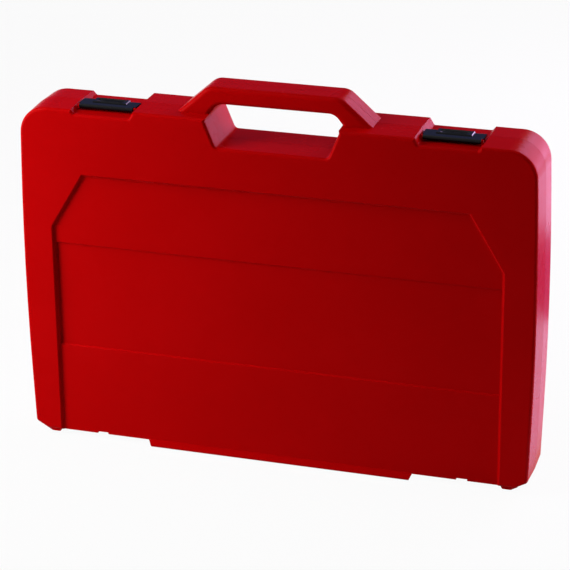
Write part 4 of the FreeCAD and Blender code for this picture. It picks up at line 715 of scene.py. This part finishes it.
def rib(middle, y):
    """Half bar along X: (x, y + r cos a, d + r sin a), with d the height of the dish at y and
    r = R sqrt(1 - (x / h)^6)."""
    along = np.sin(np.linspace(-np.pi / 2, np.pi / 2, RIB_ROWS))[:, None]
    angle = np.linspace(0.0, np.pi, RIB_COLUMNS)[None, :]
    radius = RIB_RADIUS * np.sqrt(1.0 - along ** 6)
    floor_z = DISH_Z - math.sqrt(DISH_RADIUS ** 2 - (y - DISH_Y) ** 2)
    x = middle + RIB_HALF * along + 0.0 * angle
    points = np.stack([x, y + radius * np.cos(angle), floor_z + radius * np.sin(angle)], -1)
    return points.reshape(-1, 3), grid_faces(RIB_ROWS, RIB_COLUMNS)[:, ::-1]


for body in ("latch_left", "latch_right"):
    low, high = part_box(body)
    points, faces = join([rib((low.x + high.x) / 2, y) for y in RIB_PLACES])
    add_piece(body + "_ribs", points, faces, finishes["black_plastic"], body)

# %% [markdown]
# ## Knurled bands on the sockets
#
# Each socket carries a knurled band near its drive end, so that oily fingers can turn it. On a lathe, two
# rollers press slanting grooves that cross. The formula does the same: two sets of slanting waves round the
# cylinder are multiplied, which leaves small diamonds standing. The bands are joined into one piece.

# %% Socket knurls
KNURL_PITCH = 0.0013
KNURL_HEIGHT = 0.00016
KNURL_CLEAR = 0.00002
KNURL_START = 0.13
KNURL_SHARE = 0.18
KNURL_FADE = 8
KNURL_ROWS = 13
POINTS_PER_TOOTH = 4
sockets = sorted(name for name in nodes if is_graded_socket(name))


def knurl_band(node):
    """Band r = R + h w |sin(n a / 2 + s)| |sin(n a / 2 - s)|; s grows along the band and w fades its ends."""
    low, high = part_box(node)
    radius = (high.x - low.x) / 2
    tall = high.z - low.z
    teeth = int(round(2 * np.pi * radius / KNURL_PITCH))
    columns = POINTS_PER_TOOTH * teeth
    share = np.linspace(0.0, 1.0, KNURL_ROWS)[:, None]
    angle = np.linspace(0.0, 2 * np.pi, columns, endpoint=False)[None, :]
    slant = np.pi * share * tall * KNURL_SHARE / KNURL_PITCH
    diamonds = np.abs(np.sin(teeth * angle / 2 + slant) * np.sin(teeth * angle / 2 - slant))
    fade = np.clip(KNURL_FADE * share, 0, 1) * np.clip(KNURL_FADE * (1 - share), 0, 1)
    r = radius + KNURL_CLEAR + KNURL_HEIGHT * fade * diamonds
    x = (low.x + high.x) / 2 + r * np.cos(angle)
    y = (low.y + high.y) / 2 + r * np.sin(angle)
    z = low.z + tall * (KNURL_START + KNURL_SHARE * share) + 0.0 * angle
    return np.stack([x, y, z], -1).reshape(-1, 3), grid_faces(KNURL_ROWS, columns, closed=True)


points, faces = join([knurl_band(node) for node in sockets])
add_piece("socket_knurls", points, faces, finishes["chrome_upright"], "base")

# %% [markdown]
# ## Size figures on the tray
#
# The tray has the size of each socket printed under its pocket. An image could carry the print, but a mesh
# stays sharp at any distance. A figure starts as a text curve and is turned into a mesh. Text lies flat, so
# when its points are moved to the tray, their Y becomes Z. The ink is worn thin in small patches.

# %% Size figures
FIGURE_TALL = 0.0062
FIGURE_DROP = 0.0105
TRAY_FACE = 0.0010
INK_HALF = 0.00006
INK_LIFT = 0.00007
WORN_INK = (0.34, 0.34, 0.35)
FULL_INK = (0.62, 0.62, 0.60)


def ink_material():
    """Pale printed ink, worn thin in small patches."""
    material, tree, output = new_material("pale_ink")
    shader = tree.nodes.new("ShaderNodeBsdfPrincipled")
    shader.inputs["Specular IOR Level"].default_value = 0.25
    place = tree.nodes.new("ShaderNodeTexCoord").outputs["Object"]
    wear = add_noise(tree, place, 420.0, detail=4.0, roughness=0.7)
    colour = two_tone(tree, add_range(tree, wear, 0.0, 1.0), WORN_INK, FULL_INK)
    tree.links.new(colour, shader.inputs["Base Color"])
    tree.links.new(add_range(tree, wear, 0.70, 0.48), shader.inputs["Roughness"])
    tree.links.new(shader.outputs["BSDF"], output.inputs["Surface"])
    return material


def text_mesh(text):
    """Flat points and triangles of a text, centred on the origin."""
    curve = bpy.data.curves.new("figure", "FONT")
    curve.body = text
    curve.size = FIGURE_TALL
    curve.extrude = INK_HALF
    curve.align_x = "CENTER"
    curve.align_y = "CENTER"
    holder = bpy.data.objects.new("figure", curve)
    mesh = bpy.data.meshes.new_from_object(holder)
    mesh.calc_loop_triangles()
    flat = np.empty(3 * len(mesh.vertices))
    mesh.vertices.foreach_get("co", flat)
    triangles = np.empty(3 * len(mesh.loop_triangles), int)
    mesh.loop_triangles.foreach_get("vertices", triangles)
    bpy.data.objects.remove(holder)
    bpy.data.curves.remove(curve)
    bpy.data.meshes.remove(mesh)
    return flat.reshape(-1, 3), triangles.reshape(-1, 3)


def socket_figure(node):
    """Size of a socket: text points (u, v, w) moved to (x + u, face - lift - w, z + v) under its pocket."""
    low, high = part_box(node)
    flat, triangles = text_mesh(node.split("_")[-1].removesuffix("mm"))
    x = (low.x + high.x) / 2 + flat[:, 0]
    y = TRAY_FACE - INK_LIFT - flat[:, 2]
    z = low.z - FIGURE_DROP + flat[:, 1]
    return np.stack([x, y, z], -1), triangles


points, faces = join([socket_figure(node) for node in sockets])
add_piece("size_figures", points, faces, ink_material(), "base", smooth=False)

# %% [markdown]
# ## Sizes and finish
#
# A dressed model should be as large as the solids under it. The box of all pieces is measured and printed.

# %% Sizes and finish
low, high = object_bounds()
print("box of the dressed model:", tuple(low), tuple(high))
